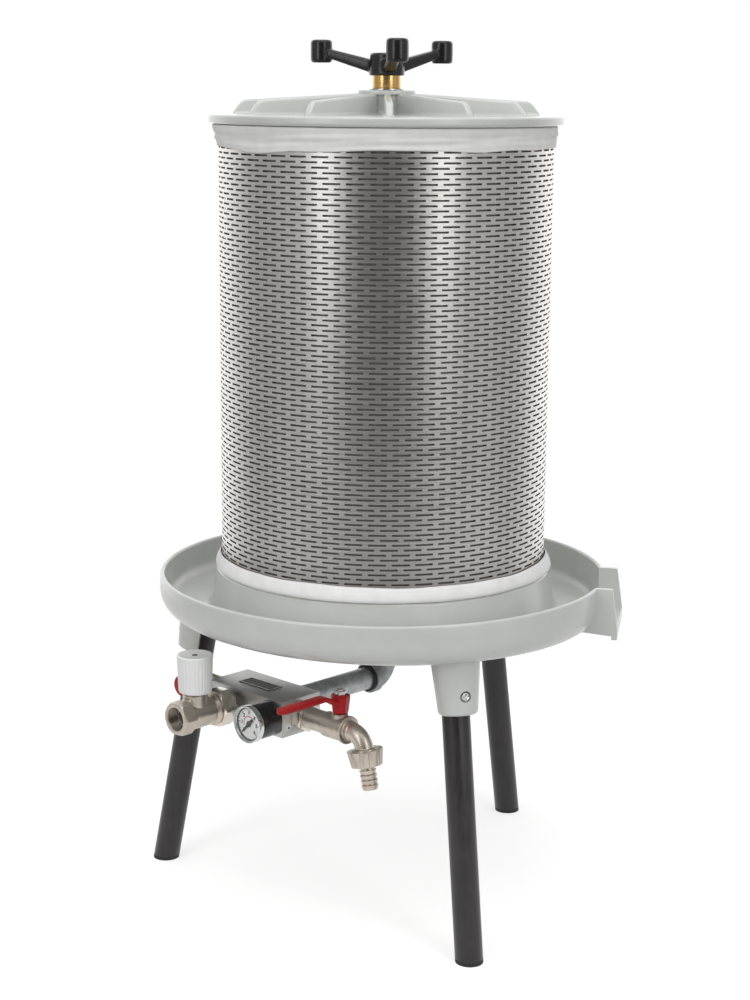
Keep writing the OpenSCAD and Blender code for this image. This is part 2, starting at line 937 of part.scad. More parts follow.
module feed_elbow() {
    color(zinc) at_pipe() difference() {
        union() {
            bend(elbow_d);
            bar(elbow_d, elbow_bend, elbow_top - pipe_z);
            bar(elbow_collar_d, elbow_top - pipe_z - elbow_collar_h, elbow_top - pipe_z);
            translate([0, -elbow_bend, 0]) rotate([90, 0, 0]) bar(elbow_d, 0, elbow_mouth);
            translate([0, -elbow_bend, 0]) rotate([90, 0, 0])
                bar(elbow_collar_d, elbow_mouth - elbow_collar_h, elbow_mouth);
        }
        bend(pipe_bore_d);
        bar(pipe_bore_d, elbow_bend, elbow_top - pipe_z + cut);
        bar(tail_d + 2 * fit_play, tail_end - pipe_z, elbow_top - pipe_z + cut);
        translate([0, -elbow_bend, 0]) rotate([90, 0, 0]) bar(pipe_bore_d, 0, elbow_mouth + cut);
        translate([0, -elbow_bend, 0]) rotate([90, 0, 0])
            bar(pipe_d + 2 * fit_play, elbow_mouth - elbow_grip, elbow_mouth + cut);
    }
}

module elbow_gasket() {
    color(rubber) at_pipe() translate([0, -elbow_bend, 0]) rotate([90, 0, 0])
        tube(elbow_gasket_d, pipe_d + 2 * fit_play, elbow_mouth, elbow_mouth + elbow_gasket_t);
}

module feed_pipe() {
    color("#7F8587") at_pipe() rotate([90, 0, 0])
        tube(pipe_d, pipe_bore_d, elbow_bend + elbow_mouth - elbow_grip, block_reach + port_depth);
}

// A small screw's hole in the block's right end, with z pointing out of it
module at_block_screw(side) {
    translate([block_right - block_screw_h, side * block_screw_spread / 2 - block_mid, -block_screw_drop])
        along_x() children();
}

module water_block() {
    color("#A9ABAC") at_block() difference() {
        translate([-block_left, -block_front, -block_h / 2]) cube([block_w, block_depth, block_h]);
        translate([-block_left - cut, -block_mid, 0]) along_x() bar(way_d, 0, block_w + 2 * cut);
        translate([-block_left - cut, -block_mid, 0]) along_x()
            bar(port_d + 2 * fit_play, 0, port_depth + cut);
        translate([block_right - port_depth, -block_mid, 0]) along_x()
            bar(port_d + 2 * fit_play, 0, port_depth + cut);
        translate([0, 0, pipe_rise]) rotate([90, 0, 0])
            bar(pipe_d + 2 * fit_play, block_reach - cut, block_reach + port_depth);
        translate([0, 0, pipe_rise]) rotate([90, 0, 0]) bar(way_d, block_reach, block_mid);
        translate([gauge_shift, 0, 0]) rotate([90, 0, 0])
            bar(gauge_port_d + 2 * fit_play, block_front - port_depth, block_front + cut);
        translate([gauge_shift, 0, 0]) rotate([90, 0, 0]) bar(gauge_port_d / 2, block_mid, block_front);
        translate([-overflow_shift, 0, 0]) rotate([90, 0, 0])
            bar(port_d + 2 * fit_play, block_front - port_depth, block_front + cut);
        translate([-overflow_shift, 0, 0]) rotate([90, 0, 0]) bar(way_d, block_mid, block_front);
        for (side = [-1, 1]) at_block_screw(side) bar(block_screw_d + 2 * fit_play, 0, block_screw_h + cut);
    }
}

module label_plate() {
    color("#D8DADA") at_block()
        translate([plate_x, -block_mid - plate_depth / 2, block_h / 2])
            cube([plate_w, plate_depth, plate_t]);
}

module block_screws() {
    color(zinc) at_block() for (side = [-1, 1]) at_block_screw(side) difference() {
        bar(block_screw_d, 0, block_screw_h);
        hex_bar(recess_hex_d, block_screw_h / 2, block_screw_h + cut);
    }
}

module gauge_socket() {
    color(brass) at_front(gauge_shift) difference() {
        union() {
            bar(gauge_port_d, -port_depth, gauge_stand + gauge_back_t);
            bar(gauge_flange_d, 0, gauge_stand);
            bar(post_d, 0, gauge_end - post_room);
        }
        bar(gauge_port_d / 2, -port_depth - cut, gauge_stand);
        bar(needle_d + 2 * shaft_play, gauge_end - post_room - needle_sink, gauge_end);
    }
}

module bourdon_tube() {
    color(brass) at_front(gauge_shift) translate([0, 0, gauge_stand + gauge_depth / 2]) union() {
        rotate_extrude(angle = bourdon_sweep) translate([bourdon_r, 0]) circle(d = bourdon_d);
        difference() {
            along_x() bar(bourdon_d, 0, bourdon_r);
            bar(post_d + 2 * fit_play, -bourdon_d, bourdon_d);
        }
    }
}

module gauge_case() {
    color(cap_black) at_front(gauge_shift) difference() {
        bar(gauge_d, gauge_stand, gauge_end);
        bar(gauge_d - 2 * gauge_wall, gauge_stand + gauge_back_t, gauge_end + cut);
        bar(gauge_port_d + 2 * fit_play, 0, gauge_end);
    }
}

module gauge_dial() {
    color("white") at_front(gauge_shift) tube(gauge_d, dial_hole_d, gauge_end, gauge_end + dial_t);
}

// At rest the needle points down and to the left, at zero
module gauge_needle() {
    needle_z = gauge_end + dial_t + 2 * soft_gap;
    color(cap_black) at_front(gauge_shift) rotate([0, 0, needle_rest]) union() {
        translate([-needle_tail, -needle_w / 2, needle_z])
            cube([needle_l + needle_tail, needle_w, needle_t]);
        bar(needle_hub_d, needle_z, needle_z + needle_t);
        bar(needle_d, gauge_end - post_room - needle_sink + soft_gap, needle_z + needle_t);
    }
}

module gauge_bezel() {
    front = gauge_end + dial_t + glass_stand + glass_t + bezel_lip;
    color("#D5D7D8") at_front(gauge_shift) difference() {
        bar(bezel_d, gauge_end - bezel_grip, front);
        bar(gauge_d + 2 * fit_play, gauge_end - bezel_grip - cut, gauge_end + dial_t);
        bar(bezel_d - 4 * bezel_t, gauge_end, front + cut);
        bar(bezel_d - 2 * bezel_t, gauge_end + dial_t + glass_stand, front + cut);
    }
}

module gauge_glass() {
    low = gauge_end + dial_t + glass_stand;
    color("#E8F0F0") at_front(gauge_shift) bar(bezel_d - 2 * bezel_t - 2 * fit_play, low, low + glass_t);
}

module overflow_nipple() {
    color(nickel) at_front(-overflow_shift) difference() {
        union() {
            bar(port_d, -port_depth, 0);
            bar(nipple_flange_d, 0, nipple_flange);
            bar(nipple_neck_d, 0, union_z + union_seat);
        }
        bar(way_d, -port_depth - cut, union_z + union_seat + cut);
    }
}

module union_nut() {
    color(nickel) at_front(-overflow_shift) difference() {
        intersection() {
            hex_bar(union_flats, union_z, union_z + union_h);
            rotate_extrude() polygon([
                [0, union_z],
                [union_flats / 2, union_z],
                [union_flats / 2 + hex_chamfer, union_z + hex_chamfer],
                [union_flats / 2 + hex_chamfer, union_z + union_h - hex_chamfer],
                [union_flats / 2, union_z + union_h],
                [0, union_z + union_h]
            ]);
        }
        bar(nipple_neck_d + 2 * fit_play, union_z - cut, union_z + union_seat + cut);
        bar(thread_d + 2 * fit_play, union_z + union_seat, union_z + union_h + cut);
    }
}

// The casting that stands out from the union nut and ends in the hexagon mouth
module overflow_casting() {
    start = union_z + union_h;
    rotate_extrude() polygon([
        [0, union_z + union_seat + soft_gap],
        [thread_d / 2, union_z + union_seat + soft_gap],
        [thread_d / 2, start],
        [overflow_r + hex_chamfer, start],
        [overflow_r + hex_chamfer, start + hex_chamfer],
        [waist_d / 2, (start + hex_chamfer + knob_reach - overflow_r) / 2],
        [overflow_r, knob_reach - overflow_r],
        [overflow_r, mouth_reach - mouth_depth - hex_chamfer],
        [0, mouth_reach - mouth_depth - hex_chamfer]
    ]);
    intersection() {
        hex_bar(mouth_flats, mouth_reach - mouth_depth - 2 * hex_chamfer, mouth_reach);
        rotate_extrude() polygon([
            [0, mouth_reach - mouth_depth - 2 * hex_chamfer],
            [mouth_flats / 2 - hex_chamfer, mouth_reach - mouth_depth - 2 * hex_chamfer],
            [mouth_flats / 2 + hex_chamfer, mouth_reach - mouth_depth],
            [mouth_flats / 2 + hex_chamfer, mouth_reach - hex_chamfer],
            [mouth_flats / 2, mouth_reach],
            [0, mouth_reach]
        ]);
    }
}

module overflow_body() {
    color(nickel) difference() {
        union() {
            at_front(-overflow_shift) overflow_casting();
            at_knob() bar(neck_d, 0, neck_h);
        }
        at_front(-overflow_shift) bar(mouth_bore_d, mouth_reach - mouth_depth, mouth_reach + cut);
        at_front(-overflow_shift) translate([0, -throat_drop, 0])
            bar(throat_d, 0, knob_reach + throat_d / 2);
        at_front(-overflow_shift) translate([0, outlet_rise, 0])
            bar(throat_d, knob_reach + disc_d / 2, mouth_reach);
        at_knob() bar(seat_bore_d, -throat_drop, seat_rise + cut);
        at_knob() bar(chamber_d, seat_rise, bonnet_z + cut);
        at_knob() bar(bonnet_d + 2 * fit_play, bonnet_z, neck_h + cut);
    }
}

module overflow_disc() {
    color(brass) at_knob() union() {
        bar(disc_d, seat_rise + soft_gap, seat_rise + soft_gap + disc_t);
        bar(disc_stem_d, seat_rise + soft_gap, seat_rise + soft_gap + disc_t + disc_stem_h);
    }
}

// Centre line of the spring, and its tube of rings
spring_steps = spring_turns * spring_rings;
function spring_point(i) = [
    spring_d / 2 * cos(i * 360 / spring_rings),
    spring_d / 2 * sin(i * 360 / spring_rings),
    spring_z + spring_h * i / spring_steps];
function spring_ring(i) = [for (k = [0 : spring_sides - 1]) spring_point(i) + spring_wire_d / 2 * [
    cos(k * 360 / spring_sides) * cos(i * 360 / spring_rings),
    cos(k * 360 / spring_sides) * sin(i * 360 / spring_rings),
    sin(k * 360 / spring_sides)]];
spring_gap = norm(spring_point(spring_rings) - spring_point(0)) - spring_wire_d;
echo(spring_least_gap = spring_gap);

module overflow_spring() {
    points = [for (i = [0 : spring_steps]) each spring_ring(i)];
    walls = [for (i = [0 : spring_steps - 1]) for (k = [0 : spring_sides - 1])
        let (a = i * spring_sides + k, b = i * spring_sides + (k + 1) % spring_sides)
        each [[a, b, b + spring_sides], [a, b + spring_sides, a + spring_sides]]];
    start = [for (k = [1 : spring_sides - 2]) [0, k + 1, k]];
    last = spring_steps * spring_sides;
    end = [for (k = [1 : spring_sides - 2]) [last, last + k, last + k + 1]];
    color(steel) at_knob() polyhedron(points, concat(walls, start, end));
}

module overflow_bonnet() {
    color(nickel) at_knob() difference() {
        bar(bonnet_d, bonnet_z, bonnet_z + bonnet_h);
        bar(chamber_d, bonnet_z - cut, bonnet_z + bonnet_h - bonnet_top_t);
        bar(screw_d + 2 * shaft_play, bonnet_z, bonnet_z + bonnet_h + cut);
    }
}

module overflow_screw() {
    low = bonnet_z + bonnet_h - bonnet_top_t - screw_low;
    color(brass) at_knob() union() {
        bar(screw_d, low, knob_z + knob_h - knob_hole_depth);
        bar(screw_plate_d, low, low + screw_plate_t);
    }
}

module overflow_knob() {
    color("#F2F3F3") at_knob() difference() {
        rotate_extrude() polygon(concat(
            [[0, knob_z]],
            arc([knob_low_d / 2 - knob_foot_edge, knob_z + knob_foot_edge], knob_foot_edge, -90, 0),
            arc([knob_d / 2 - knob_edge, knob_z + knob_h - knob_edge], knob_edge, 0, 90),
            [[0, knob_z + knob_h]]
        ));
        bar(knob_low_d - 2 * knob_wall, knob_z - cut, knob_z + knob_h - knob_top_t);
        bar(screw_d + 2 * fit_play, knob_z, knob_z + knob_h - knob_hole_depth + fit_play);
        bar(knob_hole_d, knob_z + knob_h - knob_hole_depth, knob_z + knob_h + cut);
        bar(knob_dish_d, knob_z + knob_h - knob_dish, knob_z + knob_h + cut);
        for (i = [0 : knob_flutes - 1]) rotate([0, 0, i * 360 / knob_flutes])
            translate([knob_d / 2 - flute_depth, -flute_w / 2, knob_z + knob_h / 2])
                cube([knob_d, flute_w, knob_h / 2 - 2 * knob_edge]);
    }
}

// Valve seat rings on both sides of a ball at the origin, along x
module ball_seats() {
    difference() {
        for (side = [0, 180]) rotate([0, 0, side]) along_x()
            tube(sleeve_d - 2 * fit_play, way_d, ball_d / 2 - seat_w + seat_stand, ball_d / 2 + seat_stand);
        sphere(d = ball_d + 2 * seat_room);
    }
}

// A ball at the origin with its water way along x and a socket for its stem at +z
module valve_ball() {
    difference() {
        sphere(d = ball_d);
        along_x() bar(way_d, -ball_d, ball_d);
        bar(stem_d + 2 * fit_play, ball_d / 2 - stem_sink, ball_d);
    }
}

// A nipple along x: thread in the block, hexagon, and a sleeve that holds the first seat
module valve_nipple(hex_h, sleeve_end) {
    color(nickel) along_x() difference() {
        union() {
            bar(port_d, -port_depth, port_step);
            hex_bar(nipple_flats, 0, hex_h);
            bar(sleeve_d - 2 * fit_play, 0, sleeve_end);
        }
        bar(way_d, -port_depth - cut, sleeve_end + cut);
    }
}

module tap_nipple() {
    at_tap() valve_nipple(nipple_hex_h, tap_pivot - ball_d / 2 - seat_stand);
}

// The tap's outside along x, then its spout bending down
module tap_casting() {
    along_x() rotate_extrude() polygon([
        [0, nipple_hex_h],
        [tap_neck_d / 2, nipple_hex_h],
        [tap_neck_d / 2, tap_neck_end],
        [tap_d / 2, tap_neck_end],
        [tap_d / 2, tap_ring_z],
        [tap_ring_d / 2, tap_ring_z],
        [tap_ring_d / 2, tap_ring_z + tap_ring_h],
        [0, tap_ring_z + tap_ring_h]
    ]);
    translate([tap_pivot, 0, 0]) bar(tap_bonnet_d, 0, tap_bonnet_h);
    tap_spout(tap_spout_d, tap_ring_z);
    at_spout() bar(tap_thread_d, -tap_thread_h, 2 * spout_step);
}

// The spout's short run, a shoulder wider than its bend, which turns downwards
module tap_spout(d, start) {
    along_x() bar(d + 2 * spout_step, start, tap_bend_x + spout_step);
    translate([tap_bend_x, 0, -tap_bend]) rotate([90, 0, 0]) rotate([0, 0, 90 - tap_turn])
        rotate_extrude(angle = tap_turn) translate([tap_bend, 0]) circle(d = d);
}

// A frame at the end of the spout's bend, in the tap's axes, with z back into it
module at_spout() {
    translate([tap_bend_x, 0, -tap_bend]) rotate([0, tap_turn - 90, 0])
        translate([tap_bend, 0, 0]) children();
}

module tap_body() {
    color(nickel) at_tap() difference() {
        tap_casting();
        along_x() bar(sleeve_d, nipple_hex_h - cut, tap_pivot + ball_d / 2 + seat_stand);
        tap_spout(spout_bore_d, tap_pivot);
        at_spout() bar(spout_bore_d + 2 * spout_step, -tap_thread_h - cut, spout_step);
        translate([tap_pivot, 0, 0]) bar(stem_d + 2 * shaft_play, 0, tap_bonnet_h + cut);
    }
}

module tap_seats() {
    color(ptfe) at_tap() translate([tap_pivot, 0, 0]) ball_seats();
}

// At rest the tap is shut, so the ball's way lies across the body
module tap_ball() {
    color(steel) at_tap() translate([tap_pivot, 0, 0]) rotate([0, 0, 90]) valve_ball();
}

module tap_stem() {
    color(nickel) at_tap() translate([tap_pivot, 0, 0]) bar(stem_d, ball_d / 2 - stem_sink, stem_h);
}

module tap_lever() {
    root = lever_z + lever_hub_h - lever_t - lever_drop;
    color(lever_red) at_tap() translate([tap_pivot, 0, 0]) difference() {
        union() {
            bar(lever_hub_d, lever_z, lever_z + lever_hub_h);
            rotate([90, 0, -90]) linear_extrude(height = lever_w, center = true) polygon([
                [0, root],
                [lever_hub_d / 2, root],
                [lever_hub_d / 2 + lever_slope, lever_z + lever_rise],
                [lever_reach - lever_w / 2, lever_z + lever_rise],
                [lever_reach - lever_w / 2, lever_z + lever_rise + lever_t],
                [lever_hub_d / 2 + lever_slope, lever_z + lever_rise + lever_t],
                [lever_hub_d / 2, root + lever_t],
                [0, root + lever_t]
            ]);
            translate([0, lever_w / 2 - lever_reach, 0])
                bar(lever_w, lever_z + lever_rise, lever_z + lever_rise + lever_t);
        }
        bar(stem_d + 2 * fit_play, 0, stem_h);
    }
}

module tap_lever_nut() {
    low = lever_z + lever_hub_h;
    color(zinc) at_tap() translate([tap_pivot, 0, 0]) difference() {
        hex_bar(lever_nut_flats, low, low + lever_nut_h);
        bar(stem_d + 2 * fit_play, low - cut, low + lever_nut_h + cut);
    }
}

// The same frame, placed on the block
module at_hose() {
    at_tap() at_spout() children();
}

module hose_washer() {
    color(rubber) at_hose() tube(tap_thread_d, spout_bore_d, hose_flange_z + hose_flange_t, -tap_thread_h);
}

module hose_nut() {
    color(nickel) at_hose() difference() {
        translate([0, 0, hose_nut_z]) cylinder(d1 = hose_nut_low_d, d2 = hose_nut_d, h = hose_nut_h);
        bar(tap_thread_d + 2 * fit_play, hose_flange_z, cut);
        bar(tail_neck_d + 2 * soft_gap, hose_nut_z - cut, 0);
        for (i = [0 : nut_flutes - 1]) rotate([0, 0, i * 360 / nut_flutes])
            translate([hose_nut_d / 2 + nut_flute_d * nut_flute_share, 0, 0]) rotate([0, flute_lean, 0])
                bar(nut_flute_d, hose_nut_z - cut, cut);
    }
}

module hose_tail() {
    color(nickel) at_hose() difference() {
        union() {
            bar(tap_thread_d - 2 * soft_gap, hose_flange_z, hose_flange_z + hose_flange_t);
            bar(tail_neck_d, hose_nut_z - hose_tail_h, hose_flange_z + hose_flange_t);
            for (i = [0 : tail_rings - 1]) translate([0, 0, hose_nut_z - hose_tail_h + i * tail_ring_h])
                cylinder(d1 = tail_neck_d, d2 = hose_tail_d, h = tail_ring_h);
        }
        bar(tail_neck_d - 2 * tail_wall, hose_nut_z - hose_tail_h - cut, 0);
    }
}

module inlet_nipple() {
    at_inlet() valve_nipple(inlet_hex_h, inlet_pivot - ball_d / 2 - seat_stand);
}

module inlet_body() {
    last = inlet_hex_h + inlet_h;
    color(nickel) at_inlet() difference() {
        union() {
            along_x() bar(inlet_d, inlet_hex_h, last - inlet_depth);
            along_x() hex_bar(inlet_d, last - inlet_depth, last);
            translate([inlet_pivot, 0, 0]) rotate([-90, 0, 0]) bar(inlet_bonnet_d, 0, inlet_bonnet_h);
        }
        along_x() bar(sleeve_d, inlet_hex_h - cut, inlet_pivot + ball_d / 2 + seat_stand);
        along_x() bar(way_d, inlet_pivot, last);
        along_x() bar(inlet_bore_d, last - inlet_depth, last + cut);
        translate([inlet_pivot, 0, 0]) rotate([-90, 0, 0])
            bar(stem_d + 2 * shaft_play, 0, inlet_bonnet_h + cut);
    }
}

module inlet_seats() {
    color(ptfe) at_inlet() translate([inlet_pivot, 0, 0]) ball_seats();
}

// At rest the inlet is open, so its ball's way and its wings lie along the body
module inlet_ball() {
    color(steel) at_inlet() translate([inlet_pivot, 0, 0]) rotate([-90, 0, 0]) valve_ball();
}

module inlet_stem() {
    color(nickel) at_inlet() translate([inlet_pivot, 0, 0]) rotate([-90, 0, 0])
        bar(stem_d, ball_d / 2 - stem_sink, inlet_stem_h);
}

module butterfly_wing() {
    linear_extrude(height = butterfly_t) union() {
        polygon([
            [0, -butterfly_h * butterfly_waist_share / 2],
            [(butterfly_span - butterfly_h) / 2, -butterfly_h / 2],
            [(butterfly_span - butterfly_h) / 2, butterfly_h / 2],
            [0, butterfly_h * butterfly_waist_share / 2]
        ]);
        translate([(butterfly_span - butterfly_h) / 2, 0]) circle(d = butterfly_h);
    }
}

module inlet_handle() {
    low = inlet_bonnet_h + soft_gap;
    color(lever_red) at_inlet() translate([inlet_pivot, 0, 0]) rotate([-90, 0, 0]) difference() {
        union() {
            bar(butterfly_hub_d, low, low + handle_hub_t);
            for (side = [0, 180]) rotate([0, 0, side]) translate([0, 0, low]) butterfly_wing();
        }
        bar(stem_d + 2 * fit_play, 0, inlet_stem_h);
    }
}

juice_tray();
leg_front();
leg_rear();
leg_left();
foot_cap_front();
foot_cap_rear();
foot_cap_left();
leg_screws();
basket();
press_bag();
lid();
thrust_washer();
handle_nut();
star_handle();
spindle();
core_cap();
core_tube();
core_flange();
base_gasket();
lock_nut();
membrane();
membrane_clamp_lower();
membrane_clamp_upper();
feed_elbow();
elbow_gasket();
feed_pipe();
water_block();
label_plate();
block_screws();
gauge_socket();
bourdon_tube();
gauge_case();
gauge_dial();
gauge_needle();
gauge_bezel();
gauge_glass();
overflow_nipple();
union_nut();
overflow_body();
overflow_disc();
overflow_spring();
overflow_bonnet();
overflow_screw();
overflow_knob();
tap_nipple();
tap_body();
tap_seats();
tap_ball();
tap_stem();
tap_lever();
tap_lever_nut();
hose_washer();
hose_nut();
hose_tail();
inlet_nipple();
inlet_body();
inlet_seats();
inlet_ball();
inlet_stem();
inlet_handle();
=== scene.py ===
import json
import math

import bmesh
import bpy
import numpy as np
from mathutils import Euler, Matrix, Vector


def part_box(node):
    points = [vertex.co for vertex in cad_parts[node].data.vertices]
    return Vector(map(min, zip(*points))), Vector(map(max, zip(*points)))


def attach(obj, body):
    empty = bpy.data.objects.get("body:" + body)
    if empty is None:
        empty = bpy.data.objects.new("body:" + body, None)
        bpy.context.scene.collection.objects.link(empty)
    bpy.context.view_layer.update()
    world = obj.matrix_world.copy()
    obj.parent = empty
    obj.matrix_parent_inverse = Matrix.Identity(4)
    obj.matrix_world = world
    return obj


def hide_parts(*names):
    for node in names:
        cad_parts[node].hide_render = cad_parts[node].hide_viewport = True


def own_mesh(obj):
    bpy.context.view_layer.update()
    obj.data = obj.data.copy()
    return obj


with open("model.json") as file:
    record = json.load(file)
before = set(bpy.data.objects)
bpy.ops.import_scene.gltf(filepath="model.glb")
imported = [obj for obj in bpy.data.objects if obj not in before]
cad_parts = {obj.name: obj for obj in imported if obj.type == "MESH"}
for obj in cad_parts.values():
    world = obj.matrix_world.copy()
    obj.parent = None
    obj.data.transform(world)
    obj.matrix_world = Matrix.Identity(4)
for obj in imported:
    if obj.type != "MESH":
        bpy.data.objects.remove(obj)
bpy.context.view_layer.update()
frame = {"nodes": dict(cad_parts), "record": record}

NODES = frame["nodes"]
MM = 0.001
TAU = 2 * math.pi
# Lengths below this count as none
TINY = 1e-6
BODY_OF = {n: body for body, names in frame["record"]["behaviour"]["bodies"].items() for n in names}
SLOT_OF = {row["node"]: row["material_slot"] for row in frame["record"]["subparts"]}

# Camera of the photograph, in the row's frame: place in metres, angles in degrees
CAMERA_AT = (0.3403, -1.9804, 0.84495)
CAMERA_TILT, CAMERA_TURN, CAMERA_ROLL = 77.97, 10.0, 0.42
CAMERA_LENS = 70.05
CAMERA_SIDE = math.radians(CAMERA_TURN - 90)

# Water block axes: x along the block, y towards the press axis
WATER_TURN = math.radians(34)
WATER_Z = 222 * MM
BLOCK = Matrix.Translation((0, 0, WATER_Z)) @ Matrix.Rotation(-WATER_TURN, 4, "Z")
BLOCK_FRONT = -177.5 * MM
OUT_OF_FRONT = Matrix.Rotation(math.radians(90), 4, "X")


def graph(name):
    """A new material with an output, a principled shader and object coordinates."""
    mat = bpy.data.materials.new(name)
    mat.use_nodes = True
    tree = mat.node_tree
    tree.nodes.clear()
    out = tree.nodes.new("ShaderNodeOutputMaterial")
    shader = tree.nodes.new("ShaderNodeBsdfPrincipled")
    tree.links.new(shader.outputs[0], out.inputs["Surface"])
    coord = tree.nodes.new("ShaderNodeTexCoord").outputs["Object"]
    return mat, tree, shader, coord


def mapped(tree, coord, scale, turn=(0, 0, 0)):
    """Coordinates scaled and turned."""
    node = tree.nodes.new("ShaderNodeMapping")
    node.inputs["Scale"].default_value = scale
    node.inputs["Rotation"].default_value = turn
    tree.links.new(coord, node.inputs["Vector"])
    return node.outputs[0]


NOISE_ROUGH = 0.55


def noise(tree, coord, scale, detail=3.0):
    """Cloudy noise between 0 and 1."""
    node = tree.nodes.new("ShaderNodeTexNoise")
    node.inputs["Scale"].default_value = scale
    node.inputs["Detail"].default_value = detail
    node.inputs["Roughness"].default_value = NOISE_ROUGH
    tree.links.new(coord, node.inputs["Vector"])
    return node.outputs["Fac"]


def span(tree, value, low, high, start=0.3, end=0.7, smooth=False):
    """Maps a value to a range."""
    node = tree.nodes.new("ShaderNodeMapRange")
    if smooth:
        node.interpolation_type = "SMOOTHSTEP"
    for key, number in (("From Min", start), ("From Max", end), ("To Min", low), ("To Max", high)):
        node.inputs[key].default_value = number
    tree.links.new(value, node.inputs["Value"])
    return node.outputs[0]


def math_node(tree, operation, a, b=None, c=None):
    """One operation on up to three terms, each a number or a socket."""
    node = tree.nodes.new("ShaderNodeMath")
    node.operation = operation
    for i, item in enumerate((a, b, c)):
        if item is None:
            continue
        if isinstance(item, (int, float)):
            node.inputs[i].default_value = item
        else:
            tree.links.new(item, node.inputs[i])
    return node.outputs[0]


def length_of(tree, x, y):
    """Length of the vector that has two sockets as its parts."""
    return math_node(tree, "SQRT", math_node(tree, "MULTIPLY_ADD", x, x, math_node(tree, "MULTIPLY", y, y)))


def along(tree, x, y, turn):
    """How far that vector reaches in the direction of an angle."""
    return math_node(tree, "MULTIPLY_ADD", x, math.cos(turn), math_node(tree, "MULTIPLY", y, math.sin(turn)))


def mixed(tree, factor, a, b):
    """Mix of two colours, each a tuple or a socket."""
    node = tree.nodes.new("ShaderNodeMix")
    node.data_type = "RGBA"
    tree.links.new(factor, node.inputs["Factor"])
    for socket, item in ((node.inputs[6], a), (node.inputs[7], b)):
        if isinstance(item, tuple):
            socket.default_value = item + (1.0,)
        else:
            tree.links.new(item, socket)
    return node.outputs[2]


def bumped(tree, shader, height, strength, distance):
    """Gives a shader a fine relief."""
    node = tree.nodes.new("ShaderNodeBump")
    node.inputs["Strength"].default_value = strength
    node.inputs["Distance"].default_value = distance
    tree.links.new(height, node.inputs["Height"])
    tree.links.new(node.outputs[0], shader.inputs["Normal"])


def shade(color, factor):
    """A colour made darker or paler."""
    return tuple(min(1.0, c * factor) for c in color)


# How far the roughness of a finish strays to either side
ROUGH_SPAN = 0.06


def finish_of(name, color, rough, metal=0.0, tint=0.05, tint_scale=30.0, grain=0.1, grain_scale=1200.0,
              depth=0.0002, stretch=None, turn=(0, 0, 0), coat=0.0, coat_rough=0.1, specular=0.5):
    """A surface with colour variation, uneven gloss and a fine grain, stretched where it is brushed."""
    mat, tree, shader, coord = graph(name)
    fine = mapped(tree, coord, stretch, turn) if stretch else coord
    broad = noise(tree, coord, tint_scale)
    streak = noise(tree, fine, grain_scale, detail=2.0)
    blend = broad
    if stretch:
        blend = math_node(tree, "MULTIPLY_ADD", streak, 0.5, math_node(tree, "MULTIPLY", broad, 0.5))
    tree.links.new(mixed(tree, span(tree, blend, 0, 1), shade(color, 1 - tint), shade(color, 1 + tint)),
                   shader.inputs["Base Color"])
    gloss = span(tree, streak, rough - ROUGH_SPAN, rough + ROUGH_SPAN)
    tree.links.new(gloss, shader.inputs["Roughness"])
    bumped(tree, shader, streak, grain, depth)
    shader.inputs["Metallic"].default_value = metal
    shader.inputs["Coat Weight"].default_value = coat
    shader.inputs["Coat Roughness"].default_value = coat_rough
    shader.inputs["Specular IOR Level"].default_value = specular
    return mat


# The bag's cloth: rate of its threads round it and up it, and the weave's share of its relief
WARP_RATE, WEFT_RATE, WEAVE_SHARE = 1300.0, 7800.0, 0.12
# Size and shades of its patches, and strength and depth of its relief
CLOTH_PATCH, CLOTH_DARK, CLOTH_PALE = 55.0, 0.93, 1.03
CLOTH_RELIEF, CLOTH_DEPTH = 0.3, 0.0006
# Radius where the lining's painted shade passes into the cloth's own colour outside, in metres
LINING_EDGE = (0.1655, 0.168)


def cloth_finish(name, color, painted_lining_shade):
    """Plain woven filter cloth: threads run round the bag and up it. The lining is darkened with painted
    shade, so the basket's slots look dark.
    """
    mat, tree, shader, coord = graph(name)
    split = tree.nodes.new("ShaderNodeSeparateXYZ")
    tree.links.new(coord, split.inputs[0])
    x, y, z = split.outputs
    around = math_node(tree, "ARCTAN2", y, x)
    warp = math_node(tree, "SINE", math_node(tree, "MULTIPLY", around, WARP_RATE))
    weft = math_node(tree, "SINE", math_node(tree, "MULTIPLY", z, WEFT_RATE))
    weave = math_node(tree, "MULTIPLY", warp, weft)
    broad = noise(tree, coord, CLOTH_PATCH, detail=4.0)
    cloth_tone = mixed(tree, span(tree, broad, 0, 1), shade(color, CLOTH_DARK), shade(color, CLOTH_PALE))
    # Painted shade: inside this radius the cloth takes the dark lining colour
    inside = span(tree, length_of(tree, x, y), 1, 0, *LINING_EDGE)
    tree.links.new(mixed(tree, inside, cloth_tone, painted_lining_shade), shader.inputs["Base Color"])
    height = math_node(tree, "MULTIPLY_ADD", weave, WEAVE_SHARE, broad)
    bumped(tree, shader, height, CLOTH_RELIEF, CLOTH_DEPTH)
    shader.inputs["Roughness"].default_value = 0.9
    shader.inputs["Sheen Weight"].default_value = 0.1
    shader.inputs["Sheen Roughness"].default_value = 0.5
    return mat


# The gauge's glass: its roughness and the size of that, its two tints and the size of those, and its alpha
GLASS_ROUGH, GLASS_ROUGH_PATCH = (0.03, 0.08), 90.0
GLASS_TINTS, GLASS_TINT_PATCH = ((0.60, 0.64, 0.64), (0.70, 0.72, 0.72)), 60.0
GLASS_ALPHA = 0.05


def glass_finish(name):
    """Thin clear glass, shown by a low alpha."""
    mat, tree, shader, coord = graph(name)
    gloss = span(tree, noise(tree, coord, GLASS_ROUGH_PATCH), *GLASS_ROUGH)
    tree.links.new(gloss, shader.inputs["Roughness"])
    tint = mixed(tree, noise(tree, coord, GLASS_TINT_PATCH), *GLASS_TINTS)
    tree.links.new(tint, shader.inputs["Base Color"])
    shader.inputs["Alpha"].default_value = GLASS_ALPHA
    return mat


